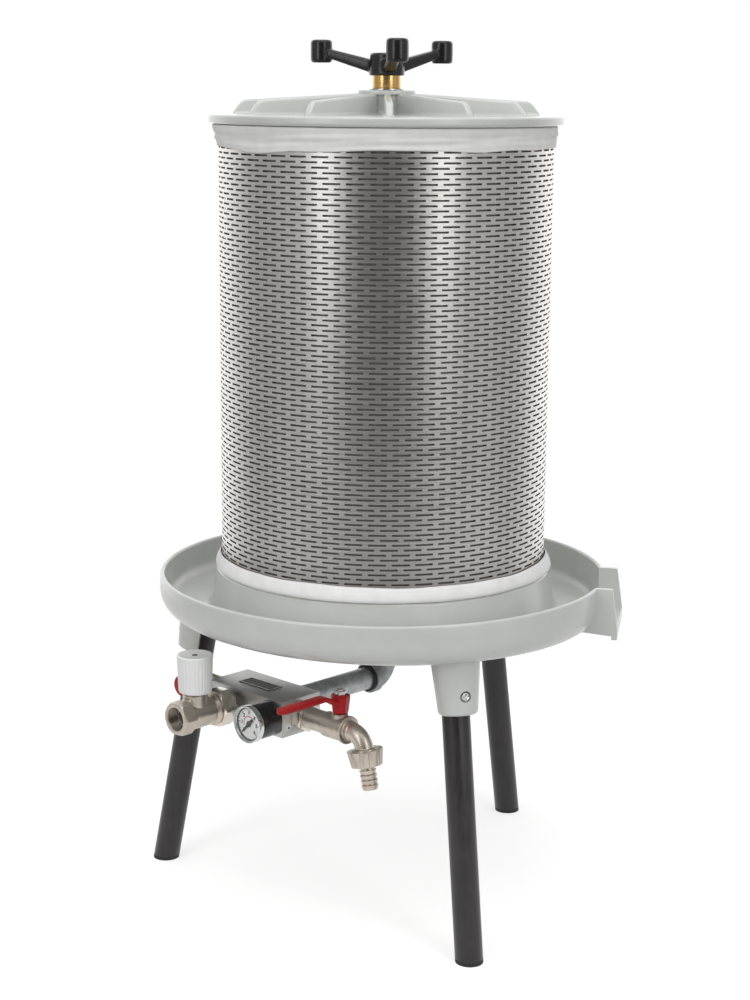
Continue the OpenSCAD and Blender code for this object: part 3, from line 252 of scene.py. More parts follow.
# Directions of brushed grain: along an upright leg, round the press, and along the water block
AXIAL = (1.0, 1.0, 0.02)
ROUND = (0.01, 0.01, 1.0)
ALONG_BLOCK = dict(stretch=(0.02, 1.0, 1.0), turn=(0, 0, WATER_TURN))
MATS = {
    "cast_grey": finish_of("cast_grey", (0.635, 0.648, 0.622), 0.42, tint=0.03, grain=0.12, grain_scale=700.0,
                           depth=0.0003, coat=0.45, coat_rough=0.12),
    "leg_paint": finish_of("leg_paint", (0.030, 0.027, 0.027), 0.36, tint=0.35, grain=0.05, grain_scale=300.0,
                           stretch=AXIAL, specular=0.4),
    "black_plastic": finish_of("black_plastic", (0.007, 0.007, 0.008), 0.27, tint=0.2, grain=0.05,
                               grain_scale=1500.0),
    "rubber": finish_of("rubber", (0.014, 0.014, 0.015), 0.65, tint=0.25, grain=0.2, grain_scale=900.0),
    "stainless": finish_of("stainless", (0.56, 0.54, 0.515), 0.34, 1.0, tint=0.08, tint_scale=12.0,
                           grain=0.04, grain_scale=1500.0, stretch=ROUND, depth=0.0001),
    "zinc": finish_of("zinc", (0.58, 0.59, 0.60), 0.30, 1.0, tint=0.1, grain=0.08, grain_scale=900.0),
    "nickel": finish_of("nickel", (0.50, 0.445, 0.38), 0.33, 0.8, tint=0.14, tint_scale=70.0, grain=0.04,
                        grain_scale=800.0),
    # A paler, glossier copy of the nickel: its lower roughness is a finer finish, its paler colour painted
    # highlight
    "nickel_painted_light": finish_of("nickel_painted_light", (0.66, 0.605, 0.535), 0.20, 0.9, tint=0.08, tint_scale=70.0,
                               grain=0.03),
    # A darkened copy of the nickel: painted shade for the thread inside the overflow's mouth
    "nickel_painted_shade": finish_of("nickel_painted_shade", (0.17, 0.15, 0.125), 0.36, 1.0, tint=0.2, tint_scale=90.0,
                             grain=0.04),
    # Near-black metal: painted shade for the screw's end at the bottom of the knob's hole
    "screw_painted_shade": finish_of("screw_painted_shade", (0.05, 0.042, 0.03), 0.5, 1.0, tint=0.2),
    "brass": finish_of("brass", (0.66, 0.43, 0.17), 0.24, 1.0, tint=0.10, grain=0.04, grain_scale=1500.0,
                       stretch=ROUND),
    # The cloth's second colour is painted shade on the lining behind the basket's slots
    "cloth": cloth_finish("cloth", (0.95, 0.95, 0.94), (0.30, 0.285, 0.26)),
    "block_alu": finish_of("block_alu", (0.46, 0.46, 0.45), 0.42, 1.0, tint=0.08, grain=0.05,
                           grain_scale=1500.0, **ALONG_BLOCK),
    "pipe_grey": finish_of("pipe_grey", (0.42, 0.435, 0.44), 0.40, 0.65, tint=0.22, tint_scale=120.0,
                           grain=0.12, grain_scale=700.0),
    # The pipe's grey darkened for the elbow: painted shade
    "elbow_painted_shade": finish_of("elbow_painted_shade", (0.30, 0.31, 0.315), 0.42, 0.65, tint=0.2, tint_scale=120.0,
                            grain=0.1, grain_scale=700.0),
    "red_lever": finish_of("red_lever", (0.40, 0.004, 0.008), 0.40, tint=0.12, grain=0.06, grain_scale=900.0,
                           specular=0.3),
    "red_plastic": finish_of("red_plastic", (0.38, 0.006, 0.013), 0.40, tint=0.12, grain=0.10,
                             grain_scale=900.0, specular=0.3),
    "white_plastic": finish_of("white_plastic", (0.90, 0.91, 0.90), 0.34, tint=0.03, grain=0.04,
                               grain_scale=900.0),
    "ptfe": finish_of("ptfe", (0.85, 0.85, 0.82), 0.5, tint=0.05),
    "dial": finish_of("dial", (0.95, 0.95, 0.94), 0.45, tint=0.03, grain=0.03),
    "bezel": finish_of("bezel", (0.62, 0.64, 0.64), 0.20, 1.0, tint=0.06, grain=0.04),
    "glass": glass_finish("glass"),
    "label": finish_of("label", (0.014, 0.014, 0.014), 0.45, tint=0.15, grain=0.06, grain_scale=1500.0,
                       specular=0.3, **ALONG_BLOCK),
    "label_edge": finish_of("label_edge", (0.66, 0.68, 0.67), 0.30, 1.0, tint=0.06, grain=0.05),
    "dial_ink": finish_of("dial_ink", (0.012, 0.012, 0.013), 0.5, tint=0.2),
    "dial_red": finish_of("dial_red", (0.55, 0.09, 0.10), 0.5, tint=0.1),
}


def paint(obj, mat):
    """Gives an object one material."""
    obj.data.materials.clear()
    obj.data.materials.append(mat)


def mesh_object(name, part, body, mat, smooth=40.0, nodes=(), place=None):
    """A new piece from vertices in millimetres and faces, that rides on a body."""
    mesh = bpy.data.meshes.new(name)
    mesh.from_pydata([tuple(v) for v in part[0]], [], part[1])
    mesh.validate()
    mesh.transform((place or Matrix()) @ Matrix.Scale(MM, 4))
    fixed_normals(mesh)
    return piece_of(name, mesh, body, mat, smooth, nodes)


def piece_of(name, mesh, body, mat, smooth=40.0, nodes=()):
    """A new piece from a mesh in metres, smooth up to an angle, that rides on a body."""
    obj = bpy.data.objects.new(name, mesh)
    bpy.context.scene.collection.objects.link(obj)
    for poly in mesh.polygons:
        poly.use_smooth = True
    mesh.set_sharp_from_angle(angle=math.radians(smooth))
    paint(obj, MATS[mat])
    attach(obj, body)
    if nodes:
        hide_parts(*nodes)
    return obj


def arc(centre, radius, start, end, steps=8):
    """Points of an arc in a section, in degrees."""
    turns = np.radians(np.linspace(start, end, steps + 1))
    return [(centre[0] + radius * math.cos(t), centre[1] + radius * math.sin(t)) for t in turns]


def lathe(profile, steps, ripple=None):
    """Vertices and faces of a closed section turned about Z, with a ripple added to its radius.

    Points on the axis are merged into one.
    """
    verts, rings = [], []
    for r, z in profile:
        if r < TINY:
            rings.append([len(verts)] * steps)
            verts.append((0.0, 0.0, z))
        else:
            rings.append(list(range(len(verts), len(verts) + steps)))
            for k in range(steps):
                t = TAU * k / steps
                reach = r + (ripple(r, z, t) if ripple else 0.0)
                verts.append((reach * math.cos(t), reach * math.sin(t), z))
    faces = []
    for i in range(len(profile)):
        a, b = rings[i], rings[(i + 1) % len(profile)]
        for k in range(steps):
            loop = [a[k], a[(k + 1) % steps], b[(k + 1) % steps], b[k]]
            loop = [v for j, v in enumerate(loop) if v != loop[j - 1]]
            if len(loop) > 2:
                faces.append(loop)
    return verts, faces


def disc(radius, low, high, steps=32):
    """A plain round disc about Z."""
    return lathe([(0, low), (radius, low), (radius, high), (0, high)], steps)


def joined(*parts):
    """Vertices and faces of several meshes as one."""
    verts, faces = [], []
    for v, f in parts:
        faces += [[i + len(verts) for i in face] for face in f]
        verts += [tuple(p) for p in v]
    return verts, faces


def moved(part, matrix):
    """The same part in another place."""
    return [tuple(matrix @ Vector(v)) for v in part[0]], part[1]


def grid(rows, around=False):
    """Rows of equal numbers of points as one list, and the faces over them."""
    count = len(rows[0])
    faces = []
    for i in range(len(rows) - 1):
        for k in range(count if around else count - 1):
            n = (k + 1) % count
            faces.append([i * count + k, i * count + n, (i + 1) * count + n, (i + 1) * count + k])
    return [p for row in rows for p in row], faces


def capped(rows):
    """A closed skin over rings of points, with a face over each end."""
    verts, faces = grid(rows, around=True)
    count = len(rows[0])
    faces.append(list(range(count))[::-1])
    faces.append(list(range(len(verts) - count, len(verts))))
    return verts, faces


def clamped(value):
    """A value held between 0 and 1."""
    return min(max(value, 0.0), 1.0)


def middle_of(low, high, z):
    """The middle of a box in plan, at a height."""
    return (low[0] + high[0]) / 2, (low[1] + high[1]) / 2, z


def fixed_normals(mesh):
    """Turns all faces outwards."""
    work = bmesh.new()
    work.from_mesh(mesh)
    bmesh.ops.recalc_face_normals(work, faces=work.faces)
    work.to_mesh(mesh)
    work.free()


SKIN_EASE = 0.5


def skinned(mesh, voxel, ease_steps):
    """One closed skin over a mesh of overlapping closed parts, with soft corners.

    The mesh is in metres and the voxel in millimetres.
    """
    fixed_normals(mesh)
    work = bpy.data.objects.new(mesh.name + "_work", mesh)
    bpy.context.scene.collection.objects.link(work)
    remesh = work.modifiers.new("skin", "REMESH")
    remesh.mode = "VOXEL"
    remesh.voxel_size = voxel * MM
    ease = work.modifiers.new("ease", "SMOOTH")
    ease.factor = SKIN_EASE
    ease.iterations = ease_steps
    result = bpy.data.meshes.new_from_object(work.evaluated_get(bpy.context.evaluated_depsgraph_get()))
    bpy.data.objects.remove(work)
    return result


# Skins of the handle, the lever and the valve castings: voxel in millimetres and smoothing steps
HANDLE_SKIN, LEVER_SKIN, CAST_SKIN = (0.9, 4), (0.55, 3), (0.6, 3)
# Edges of a skin stay sharp from this angle on
SKIN_SMOOTH = 60.0


def skin_object(name, parts, skin, body, mat, nodes, place):
    """A new piece with one skin over overlapping parts in millimetres."""
    mesh = bpy.data.meshes.new(name)
    verts, faces = joined(*parts)
    mesh.from_pydata(verts, [], faces)
    mesh.transform(place @ Matrix.Scale(MM, 4))
    return piece_of(name, skinned(mesh, *skin), body, mat, SKIN_SMOOTH, nodes=nodes)


def node_mesh(node):
    """A copy of a CAD node's mesh with its faces joined."""
    mesh = NODES[node].data.copy()
    mesh.name = node + "_finish"
    if "custom_normal" in mesh.attributes:
        mesh.attributes.remove(mesh.attributes["custom_normal"])
    work = bmesh.new()
    work.from_mesh(mesh)
    bmesh.ops.remove_doubles(work, verts=work.verts, dist=TINY)
    work.to_mesh(mesh)
    work.free()
    return mesh


# Faces closer than this are joined, and the bevel's steps and fullness
FLAT_ANGLE = math.radians(0.4)
BEVEL_STEPS, BEVEL_PROFILE = 2, 0.6


def softened(node, width, smooth=38.0):
    """A copy of a CAD node with smooth curves and slightly broken edges, standing for the node."""
    mesh = node_mesh(node)
    work = bmesh.new()
    work.from_mesh(mesh)
    bmesh.ops.dissolve_limit(work, angle_limit=FLAT_ANGLE, verts=work.verts, edges=work.edges)
    if width:
        sharp = math.radians(smooth)
        edges = [e for e in work.edges if len(e.link_faces) == 2 and e.calc_face_angle(0) > sharp]
        bmesh.ops.bevel(work, geom=edges, offset=width, segments=BEVEL_STEPS, profile=BEVEL_PROFILE,
                        affect="EDGES", clamp_overlap=True)
    work.to_mesh(mesh)
    work.free()
    return piece_of(node + "_finish", mesh, BODY_OF[node], SLOT_OF[node], smooth, nodes=(node,))


def cast_skin(node):
    """A CAD node with the rounded edges and filled corners of a casting, standing for the node."""
    mesh = skinned(node_mesh(node), *CAST_SKIN)
    return piece_of(node + "_finish", mesh, BODY_OF[node], SLOT_OF[node], SKIN_SMOOTH, nodes=(node,))


# Fall of the tray's foot towards its spout at the rim's radius
TRAY_FALL, TRAY_R = 3.5 * MM, 0.2355
# Heights and radii in metres between which it comes in and goes out
FALL_HEIGHTS = (0.338, 0.318, 0.296, 0.264)
FALL_REACH = (0.185, 0.2, 0.237, 0.3)


def eased(value, start, end):
    """A smooth step from 0 at start to 1 at end."""
    share = clamped((value - start) / (end - start))
    return share * share * (3 - 2 * share)


def tray_casting():
    """The tray with its foot falling towards the spout."""
    for v in softened("juice_tray", 0.0).data.vertices:
        reach = math.hypot(v.co.x, v.co.y)
        amount = eased(reach, *FALL_REACH[:2]) * (1 - eased(reach, *FALL_REACH[2:]))
        amount *= eased(v.co.z, *FALL_HEIGHTS[:2]) * (1 - eased(v.co.z, *FALL_HEIGHTS[2:]))
        v.co.z -= TRAY_FALL * v.co.x / TRAY_R * amount


# The basket's slots: number in a row, distance of the rows, length and width, plain margin, and the sheet
SLOT_COUNT, SLOT_PITCH = 46, 4.95 * MM
SLOT_LENGTH, SLOT_WIDTH = 17.7 * MM, 1.9 * MM
SLOT_MARGIN = 7 * MM
SHEET_T = 1.5 * MM


def slotted_basket():
    """The rolled sheet with its staggered rows of slots cut right through it."""
    low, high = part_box("basket")
    outer = high[0]
    inner = outer - SHEET_T
    pitch = TAU / SLOT_COUNT
    half = SLOT_LENGTH / 2 / outer
    edges = [-half, half - pitch / 2, pitch / 2 - half, half]
    turns = np.array([i * pitch + e for i in range(SLOT_COUNT) for e in edges])
    columns = len(turns)
    count = int((high[2] - low[2] - 2 * SLOT_MARGIN) / SLOT_PITCH)
    first = (low[2] + high[2]) / 2 - (count - 1) * SLOT_PITCH / 2
    levels = [low[2]]
    for k in range(count):
        levels += [first + k * SLOT_PITCH - SLOT_WIDTH / 2, first + k * SLOT_PITCH + SLOT_WIDTH / 2]
    levels.append(high[2])
    verts = []
    for radius in (outer, inner):
        for z in levels:
            verts += [(radius * math.cos(t), radius * math.sin(t), z) for t in turns]
    layer = len(levels) * columns

    def at(side, level, column):
        return side * layer + level * columns + column % columns

    def cut(level, column):
        """True where the cell above this level is part of a slot."""
        if level % 2 == 0:
            return False
        row = level // 2
        return column % 4 != (3 if row % 2 == 0 else 1)

    faces = []
    corners = ((0, 0), (0, 1), (1, 0), (1, 1))
    for level in range(len(levels) - 1):
        for c in range(columns):
            a, b, up, ub = (at(0, level + i, c + k) for i, k in corners)
            ia, ib, iu, iub = (at(1, level + i, c + k) for i, k in corners)
            if not cut(level, c):
                faces += [[a, b, ub, up], [ib, ia, iu, iub]]
                continue
            faces += [[b, a, ia, ib], [up, ub, iub, iu]]
            if not cut(level, c - 1):
                faces.append([a, up, iu, ia])
            if not cut(level, c + 1):
                faces.append([ub, b, ib, iub])
    last = len(levels) - 1
    for c in range(columns):
        faces.append([at(0, 0, c + 1), at(0, 0, c), at(1, 0, c), at(1, 0, c + 1)])
        faces.append([at(0, last, c), at(0, last, c + 1), at(1, last, c + 1), at(1, last, c)])
    verts = [tuple(np.array(v) / MM) for v in verts]
    mesh_object("basket_sheet", (verts, faces), "basket", "stainless", smooth=30.0, nodes=("basket",))


# Waves round the bag: count, size in millimetres and phase
HEM_WAVES = ((5, 0.7, 2.1), (9, 0.5, 0.7), (14, 0.4, 4.0))
FOLD_WAVES = ((4, 0.45, 1.2), (7, 0.4, 0.3), (13, 0.3, 2.2))
CUFF_WAVES = ((3, 0.7, 0.9), (8, 0.7, 2.6), (17, 0.5, 1.1))
# Creases of the hem: size in millimetres, waves up it, waves round it and phase
CREASES = ((0.8, 11, 3, 0), (0.5, 19, -4, 1))
# Tucks of the hem: depth in millimetres, height, slope, start of the slope, width up, place and width round
TUCKS = ((2.0, 0.25, 0.9, 0.25, 0.13, 0.5, 0.35), (1.3, 0.7, 0.5, -0.6, 0.12, -0.7, 0.4))
BAG_STEPS, HEM_ROWS, LINING_ROWS = 360, 16, 10
# The hem: its drop below the top, its dip and where that lies, its radius, its least radius and its top edge
HEM_DROP, HEM_DIP, DIP_AT, DIP_WIDTH = 21.6, 3.2, -0.85, 0.35
HEM_R, HEM_LEAST_R, HEM_TOP = 171.1, 170.75, 1.9
# Its flare at the fold, how that swings round the bag and grows, and the share of the folds that shows
FLARE, FLARE_SWING, FLARE_POWER, FOLD_SHARE = 3.4, 1.5, 1.3, 0.8
# The fold's edge from the flare and the top, the lining's ends from the top and the bottom, and their height
FOLD_EDGE = ((-0.2, -1.0), (-1.0, -0.65))
LINING_HEAD = ((168.4, -0.65), (167.6, -0.9), (167.3, -1.6), (167.3, -12), (165.4, -16), (163.6, -22))
LINING_FOOT = ((166.0, 3.6), (167.6, 1.2), (168.6, 0.65))
LINING_ENDS = 30
# The cuff from the bottom, and how much its waves swell and lift it
CUFF_SECTION = ((172.6, 0.65), (175.4, 0.7), (176.5, 1.5), (176.7, 3.4), (176.2, 6.0), (175.0, 9.0),
                (173.3, 12.2), (171.7, 15.0))
CUFF_R, CUFF_BULGE, CUFF_SWELL, CUFF_LIFT = 171.4, 5.2, 0.55, 0.03
CLOTH_T = 0.9


def wave(turn, terms):
    """Sum of waves at one place round the bag."""
    return sum(size * math.sin(count * turn + phase) for count, size, phase in terms)


def hump(value, centre, width):
    """A smooth bump of height 1."""
    return math.exp(-((value - centre) / width) ** 2)


def bag_section(turn, bottom, top):
    """Radius and height of the cloth's middle at one place round the bag, from its hem to its cuff."""
    side = (turn - CAMERA_SIDE + math.pi) % TAU - math.pi
    hem = top - HEM_DROP - HEM_DIP * hump(side, DIP_AT, DIP_WIDTH) + wave(turn, HEM_WAVES)
    fold = wave(turn, FOLD_WAVES)
    flare = FLARE - FLARE_SWING * math.sin(side)
    section = []
    for i in range(HEM_ROWS + 1):
        share = i / HEM_ROWS
        crease = sum(size * math.sin(up * share + around * turn + phase)
                     for size, up, around, phase in CREASES)
        tuck = sum(depth * hump(share, height + slope * (side - start), tall) * hump(side, place, wide)
                   for depth, height, slope, start, tall, place, wide in TUCKS)
        r = HEM_R + flare * share ** FLARE_POWER
        r += (fold + crease - tuck) * math.sin(math.pi * share) * FOLD_SHARE
        section.append((max(r, HEM_LEAST_R), hem + (top - HEM_TOP - hem) * share))
    section += [(HEM_R + flare + out, top + up) for out, up in FOLD_EDGE]
    section += [(r, top + up) for r, up in LINING_HEAD]
    inside, start = section[-1]
    step = (top - bottom - LINING_ENDS) / LINING_ROWS
    section += [(inside, start - step * i) for i in range(1, LINING_ROWS + 1)]
    section += [(r, bottom + up) for r, up in LINING_FOOT]
    cuff = wave(turn, CUFF_WAVES)
    for r, rise in CUFF_SECTION:
        bulge = (r - CUFF_R) / CUFF_BULGE
        section.append((r + CUFF_SWELL * cuff * bulge, bottom + rise * (1 + CUFF_LIFT * cuff)))
    return section


def press_bag():
    """One sheet of cloth: its hem outside the top, the lining, and the cuff outside the foot."""
    low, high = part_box("press_bag")
    turns = [TAU * k / BAG_STEPS for k in range(BAG_STEPS)]
    sections = [bag_section(t, low[2] / MM, high[2] / MM) for t in turns]
    rows = []
    for ring in zip(*sections):
        rows.append([(r * math.cos(t), r * math.sin(t), z) for t, (r, z) in zip(turns, ring)])
    bag = mesh_object("press_bag_cloth", grid(rows, around=True), "basket", "cloth", smooth=80.0,
                      nodes=("press_bag",))
    thick = bag.modifiers.new("cloth", "SOLIDIFY")
    thick.thickness = CLOTH_T * MM
    thick.offset = 0.0


# Lid, in millimetres above its seat
LID_T, HUB_R, HUB_H, COLLAR_R, COLLAR_H, LID_BORE, LID_STEPS = 9.5, 24.0, 33.5, 29.0, 4.5, 11, 192
LIP_WIDTH, LIP_FOOT, LIP_RISE, LIP_TOP = 6, 3.2, 0.4, 2.6
# Its underside from the bore to the seat, and the groove inside its lip, from its edge and its top
LID_UNDER = ((LID_BORE, 4), (160, 4), (161, 3), (161, -8), (165, -8), (165.8, -7), (165.8, -0.2), (166, 0))
LIP_GROOVE = ((-8, -0.3), (-10, -0.3), (-13, 0))
HUB_FILLET, COLLAR_EASE, COLLAR_ROUND = 6, 1, 1.5
RIB_FOOT, RIB_SHOULDER, RIB_IN_H, RIB_OUT_H, RIB_HALF, RIB_FILLET = 155.5, 142.0, 30.8, 23.5, 3.4, 4.0
RIB_CROWN, RIB_END_POWER, RIB_SINK = 0.75, 1.8, 0.15
RIB_COUNT, RIB_TURN = 12, 10.8
QUARTER = np.radians((0, 22, 45, 68, 90))


def rib():
    """A cast rib along +X with a round top, a round end and a fillet at its foot."""
    rows = []
    inside = HUB_R - RIB_HALF
    for r in [*np.linspace(inside, RIB_SHOULDER, 9), *np.linspace(RIB_SHOULDER, RIB_FOOT, 8)[1:]]:
        if r <= RIB_SHOULDER:
            top = RIB_IN_H + (RIB_OUT_H - RIB_IN_H) * (r - inside) / (RIB_SHOULDER - inside)
        else:
            share = (r - RIB_SHOULDER) / (RIB_FOOT - RIB_SHOULDER)
            top = RIB_OUT_H + (LID_T - RIB_OUT_H) * share ** RIB_END_POWER
        tall = max(top - LID_T, 0.0)
        flare = min(RIB_FILLET, tall)
        crown = min(RIB_HALF * RIB_CROWN, tall / 2)
        foot = LID_T - RIB_SINK
        right = [(RIB_HALF + flare * (1 - math.sin(t)), foot + flare * (1 - math.cos(t))) for t in QUARTER]
        right += [(RIB_HALF - crown * (1 - math.cos(t)), top - crown * (1 - math.sin(t))) for t in QUARTER]
        rows.append([(r, -y, z) for y, z in right] + [(r, y, z) for y, z in reversed(right)])
    return capped(rows)


def lid_casting():
    """The lid's turned plate with its lip, hub and collar, and the ribs on it."""
    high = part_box("lid")[1]
    seat = high[2] - HUB_H * MM
    edge = high[0] / MM
    foot = HUB_H - COLLAR_H
    section = [*LID_UNDER, (edge - LIP_WIDTH, 0)]
    section += arc((edge - LIP_FOOT, LIP_FOOT + LIP_RISE), LIP_FOOT, -75, 0)
    section += arc((edge - LIP_TOP, LID_T - LIP_TOP), LIP_TOP, 0, 90)
    section += [(edge + out, LID_T + up) for out, up in LIP_GROOVE]
    section += arc((HUB_R + HUB_FILLET, LID_T + HUB_FILLET), HUB_FILLET, 270, 180)
    section.append((HUB_R, foot - COLLAR_EASE))
    section += arc((HUB_R + COLLAR_EASE, foot - COLLAR_EASE), COLLAR_EASE, 180, 90, 4)
    section += arc((COLLAR_R - COLLAR_ROUND, foot + COLLAR_ROUND), COLLAR_ROUND, -90, 0, 4)
    section += arc((COLLAR_R - COLLAR_EASE, HUB_H - COLLAR_EASE), COLLAR_EASE, 0, 90, 4)
    section += [(LID_BORE + 1, HUB_H), (LID_BORE, HUB_H - 1)]
    parts = [lathe(section, LID_STEPS)]
    one = rib()
    for i in range(RIB_COUNT):
        turn = math.radians(RIB_TURN - 90) + TAU * i / RIB_COUNT
        parts.append(moved(one, Matrix.Rotation(turn, 4, "Z")))
    mesh_object("lid_casting", joined(*parts), "lid", "cast_grey", smooth=50.0, nodes=("lid",),
                place=Matrix.Translation((0, 0, seat)))


def rounded(value, power):
    """A sine or cosine drawn towards the corners of a square."""
    return math.copysign(abs(value) ** power, value)


def swept_bar(path, power=0.55, sides=20):
    """A bar in the X-Z plane with rounded-square sections. Its path has x, z, half width and half height."""
    rows = []
    for x, z, wide, tall in path:
        circle = [(math.cos(TAU * k / sides), math.sin(TAU * k / sides)) for k in range(sides)]
        rows.append([(x, wide * rounded(c, power), z + tall * rounded(s, power)) for c, s in circle])
    return capped(rows)


# Star handle, in millimetres above its foot: sections of hub and grip, and the arm's root and run
ARM_COUNT, ARM_TURN, ARM_REACH, ARM_ROWS = 3, -72.2, 72.0, 9
HUB_SECTION = [(0, 0), (17, 0), (18, 1), (18, 9), (17, 15.5), *arc((14, 19), 3.5, 20, 90, 6), (0, 22.5)]
GRIP_SECTION = [(0, 12.5), *arc((8, 15.5), 3, -90, 0, 6), (11.1, 24), *arc((7.8, 32.3), 3.2, 0, 90, 6),
                (0, 35.5)]
HUB_TURN_STEPS, GRIP_TURN_STEPS = 48, 40
ARM_ROOT, ARM_RUN = (6, 6.6, 7.4, 7.2), (64, 16.9, -1.5, -2.6)


def star_handle():
    """The moulded handle: a hub and three arms, each with an upright grip."""
    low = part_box("star_handle")[0]
    shares = np.linspace(0, 1, ARM_ROWS)
    arm = swept_bar([[root + run * s for root, run in zip(ARM_ROOT, ARM_RUN)] for s in shares])
    grip = lathe(GRIP_SECTION, GRIP_TURN_STEPS)
    parts = [lathe(HUB_SECTION, HUB_TURN_STEPS)]
    for i in range(ARM_COUNT):
        turn = Matrix.Rotation(math.radians(ARM_TURN) + TAU * i / ARM_COUNT, 4, "Z")
        parts.append(moved(arm, turn))
        parts.append(moved(grip, turn @ Matrix.Translation((ARM_REACH, 0, 0))))
    skin_object("star_handle_moulding", parts, HANDLE_SKIN, "handle", "black_plastic", ("star_handle",),
                Matrix.Translation((0, 0, low[2])))


# Places of the gauge and the overflow along the water block, with z out of its front
GAUGE_SHIFT, OVERFLOW_SHIFT = 16.5 * MM, -46 * MM
GAUGE = BLOCK @ Matrix.Translation((GAUGE_SHIFT, BLOCK_FRONT, 0)) @ OUT_OF_FRONT
OUTLET = BLOCK @ Matrix.Translation((OVERFLOW_SHIFT, BLOCK_FRONT, 0)) @ OUT_OF_FRONT
# Dial, in millimetres and degrees: its height, and its scale with the numbers and the parts between them
FACE_Z = 30.15
SCALE_START, SCALE_SWEEP, SCALE_MAX, SCALE_PARTS = 225.0, 270.0, 6, 5
# Its marks: outer radius, then inner radius and half width of the long and the short ones
MARK_R, LONG_MARK, SHORT_MARK = 15.3, (12.9, 0.45), (14.0, 0.22)
NUMBER_R, NUMBER_SIZE, NUMBER_BOLD, NUMBER_T = 10.6, 5.2, 0.3, 0.02
ARC_START, ARC_END, ARC_POINTS, ARC_RADII = 200.0, 60.0, 33, (8.3, 7.4)
# Its dark edge inside the bezel, a black ring of painted shade: radius and height above the dial
DIAL_EDGE = ((15.8, -0.1), (15.8, 0.4), (16.8, 1.2), (16.8, -0.1))
DIAL_STEPS = 72
# Needle: reach and half width of its corners, its hub's radius, and the heights of both above the dial
NEEDLE = ((-8.2, 1.5), (0.0, 1.9), (13.4, 0.7))
NEEDLE_LEVELS, NEEDLE_HUB_R, NEEDLE_HUB_LEVELS = (0.3, 0.8), 3.0, (0.25, 1.1)


def dial_turn(step, steps):
    """Angle on the dial after some of the scale's steps."""
    return math.radians(SCALE_START - SCALE_SWEEP * step / steps)


def dial_number(value):
    """One printed number of the dial."""
    turn = dial_turn(value, SCALE_MAX)
    text = bpy.data.curves.new(f"gauge_number_{value}", "FONT")
    text.body = str(value)
    text.size = NUMBER_SIZE * MM
    text.offset = NUMBER_BOLD * MM
    text.align_x = "CENTER"
    text.align_y = "CENTER"
    text.extrude = NUMBER_T * MM
    number = bpy.data.objects.new(f"gauge_number_{value}", text)
    bpy.context.scene.collection.objects.link(number)
    number.matrix_world = GAUGE @ Matrix.Translation(
        (NUMBER_R * MM * math.cos(turn), NUMBER_R * MM * math.sin(turn), (FACE_Z + NUMBER_T) * MM))
    text.materials.append(MATS["dial_ink"])
    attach(number, "stand")


def gauge_face():
    """Marks, arc, numbers and dark edge of the dial, and the needle over it. The dark edge is painted shade
    inside the bezel.
    """
    marks = []
    for i in range(SCALE_PARTS * SCALE_MAX + 1):
        turn = dial_turn(i, SCALE_PARTS * SCALE_MAX)
        inner, half = SHORT_MARK if i % SCALE_PARTS else LONG_MARK
        c, s = math.cos(turn), math.sin(turn)
        corners = ((inner, -half), (MARK_R, -half), (MARK_R, half), (inner, half))
        marks.append(([(r * c - w * s, r * s + w * c, FACE_Z) for r, w in corners], [[0, 1, 2, 3]]))
    mesh_object("gauge_marks", joined(*marks), "stand", "dial_ink", place=GAUGE)
    turns = np.radians(np.linspace(ARC_START, ARC_END, ARC_POINTS))
    rows = [[(r * math.cos(t), r * math.sin(t), FACE_Z) for t in turns] for r in ARC_RADII]
    mesh_object("gauge_arc", grid(rows), "stand", "dial_red", place=GAUGE)
    for value in range(SCALE_MAX + 1):
        dial_number(value)
    # Painted shade: a black ring stands for the shadow inside the bezel
    edge = lathe([(r, FACE_Z + up) for r, up in DIAL_EDGE], DIAL_STEPS)
    mesh_object("gauge_dial_shade_ring", edge, "stand", "rubber", place=GAUGE)
    outline = [(x, w) for x, w in NEEDLE] + [(x, -w) for x, w in reversed(NEEDLE)]
    blade = capped([[(x, y, FACE_Z + up) for x, y in outline] for up in NEEDLE_LEVELS])
    hub = disc(NEEDLE_HUB_R, *(FACE_Z + up for up in NEEDLE_HUB_LEVELS))
    mesh_object("gauge_needle_blade", joined(blade, hub), "needle", "dial_ink",
                nodes=("gauge_needle",), place=GAUGE @ Matrix.Rotation(math.radians(SCALE_START), 4, "Z"))


# Thread in the overflow's mouth, in millimetres out of the block: its wall, its start and a turn's section
THREAD_WALL = ((12.3, 60.5), (12.3, 72.6))
THREAD_START, THREAD_PITCH, THREAD_TURNS, THREAD_STEPS = 72.4, 1.9, 6, 72
THREAD_SECTION = ((11.95, 0), (11.05, -0.8), (11.05, -1.0), (11.95, -1.8))


def outlet_thread():
    """The turns of thread inside the overflow's mouth."""
    section = list(THREAD_WALL)
    for i in range(THREAD_TURNS):
        section += [(r, THREAD_START - THREAD_PITCH * i + up) for r, up in THREAD_SECTION]
    # The thread gets the darkened nickel, painted shade inside the mouth
    mesh_object("outlet_thread", lathe(section, THREAD_STEPS), "stand", "nickel_painted_shade", smooth=20.0,
                place=OUTLET)


# The overflow's spring: its turns, steps in each, sides of its wire, and its sizes in millimetres
SPRING_TURNS, SPRING_STEPS, SPRING_SIDES = 5, 24, 12
SPRING_RADIUS, SPRING_WIRE, DISC_LIFT = 6.0, 0.7, 3.0


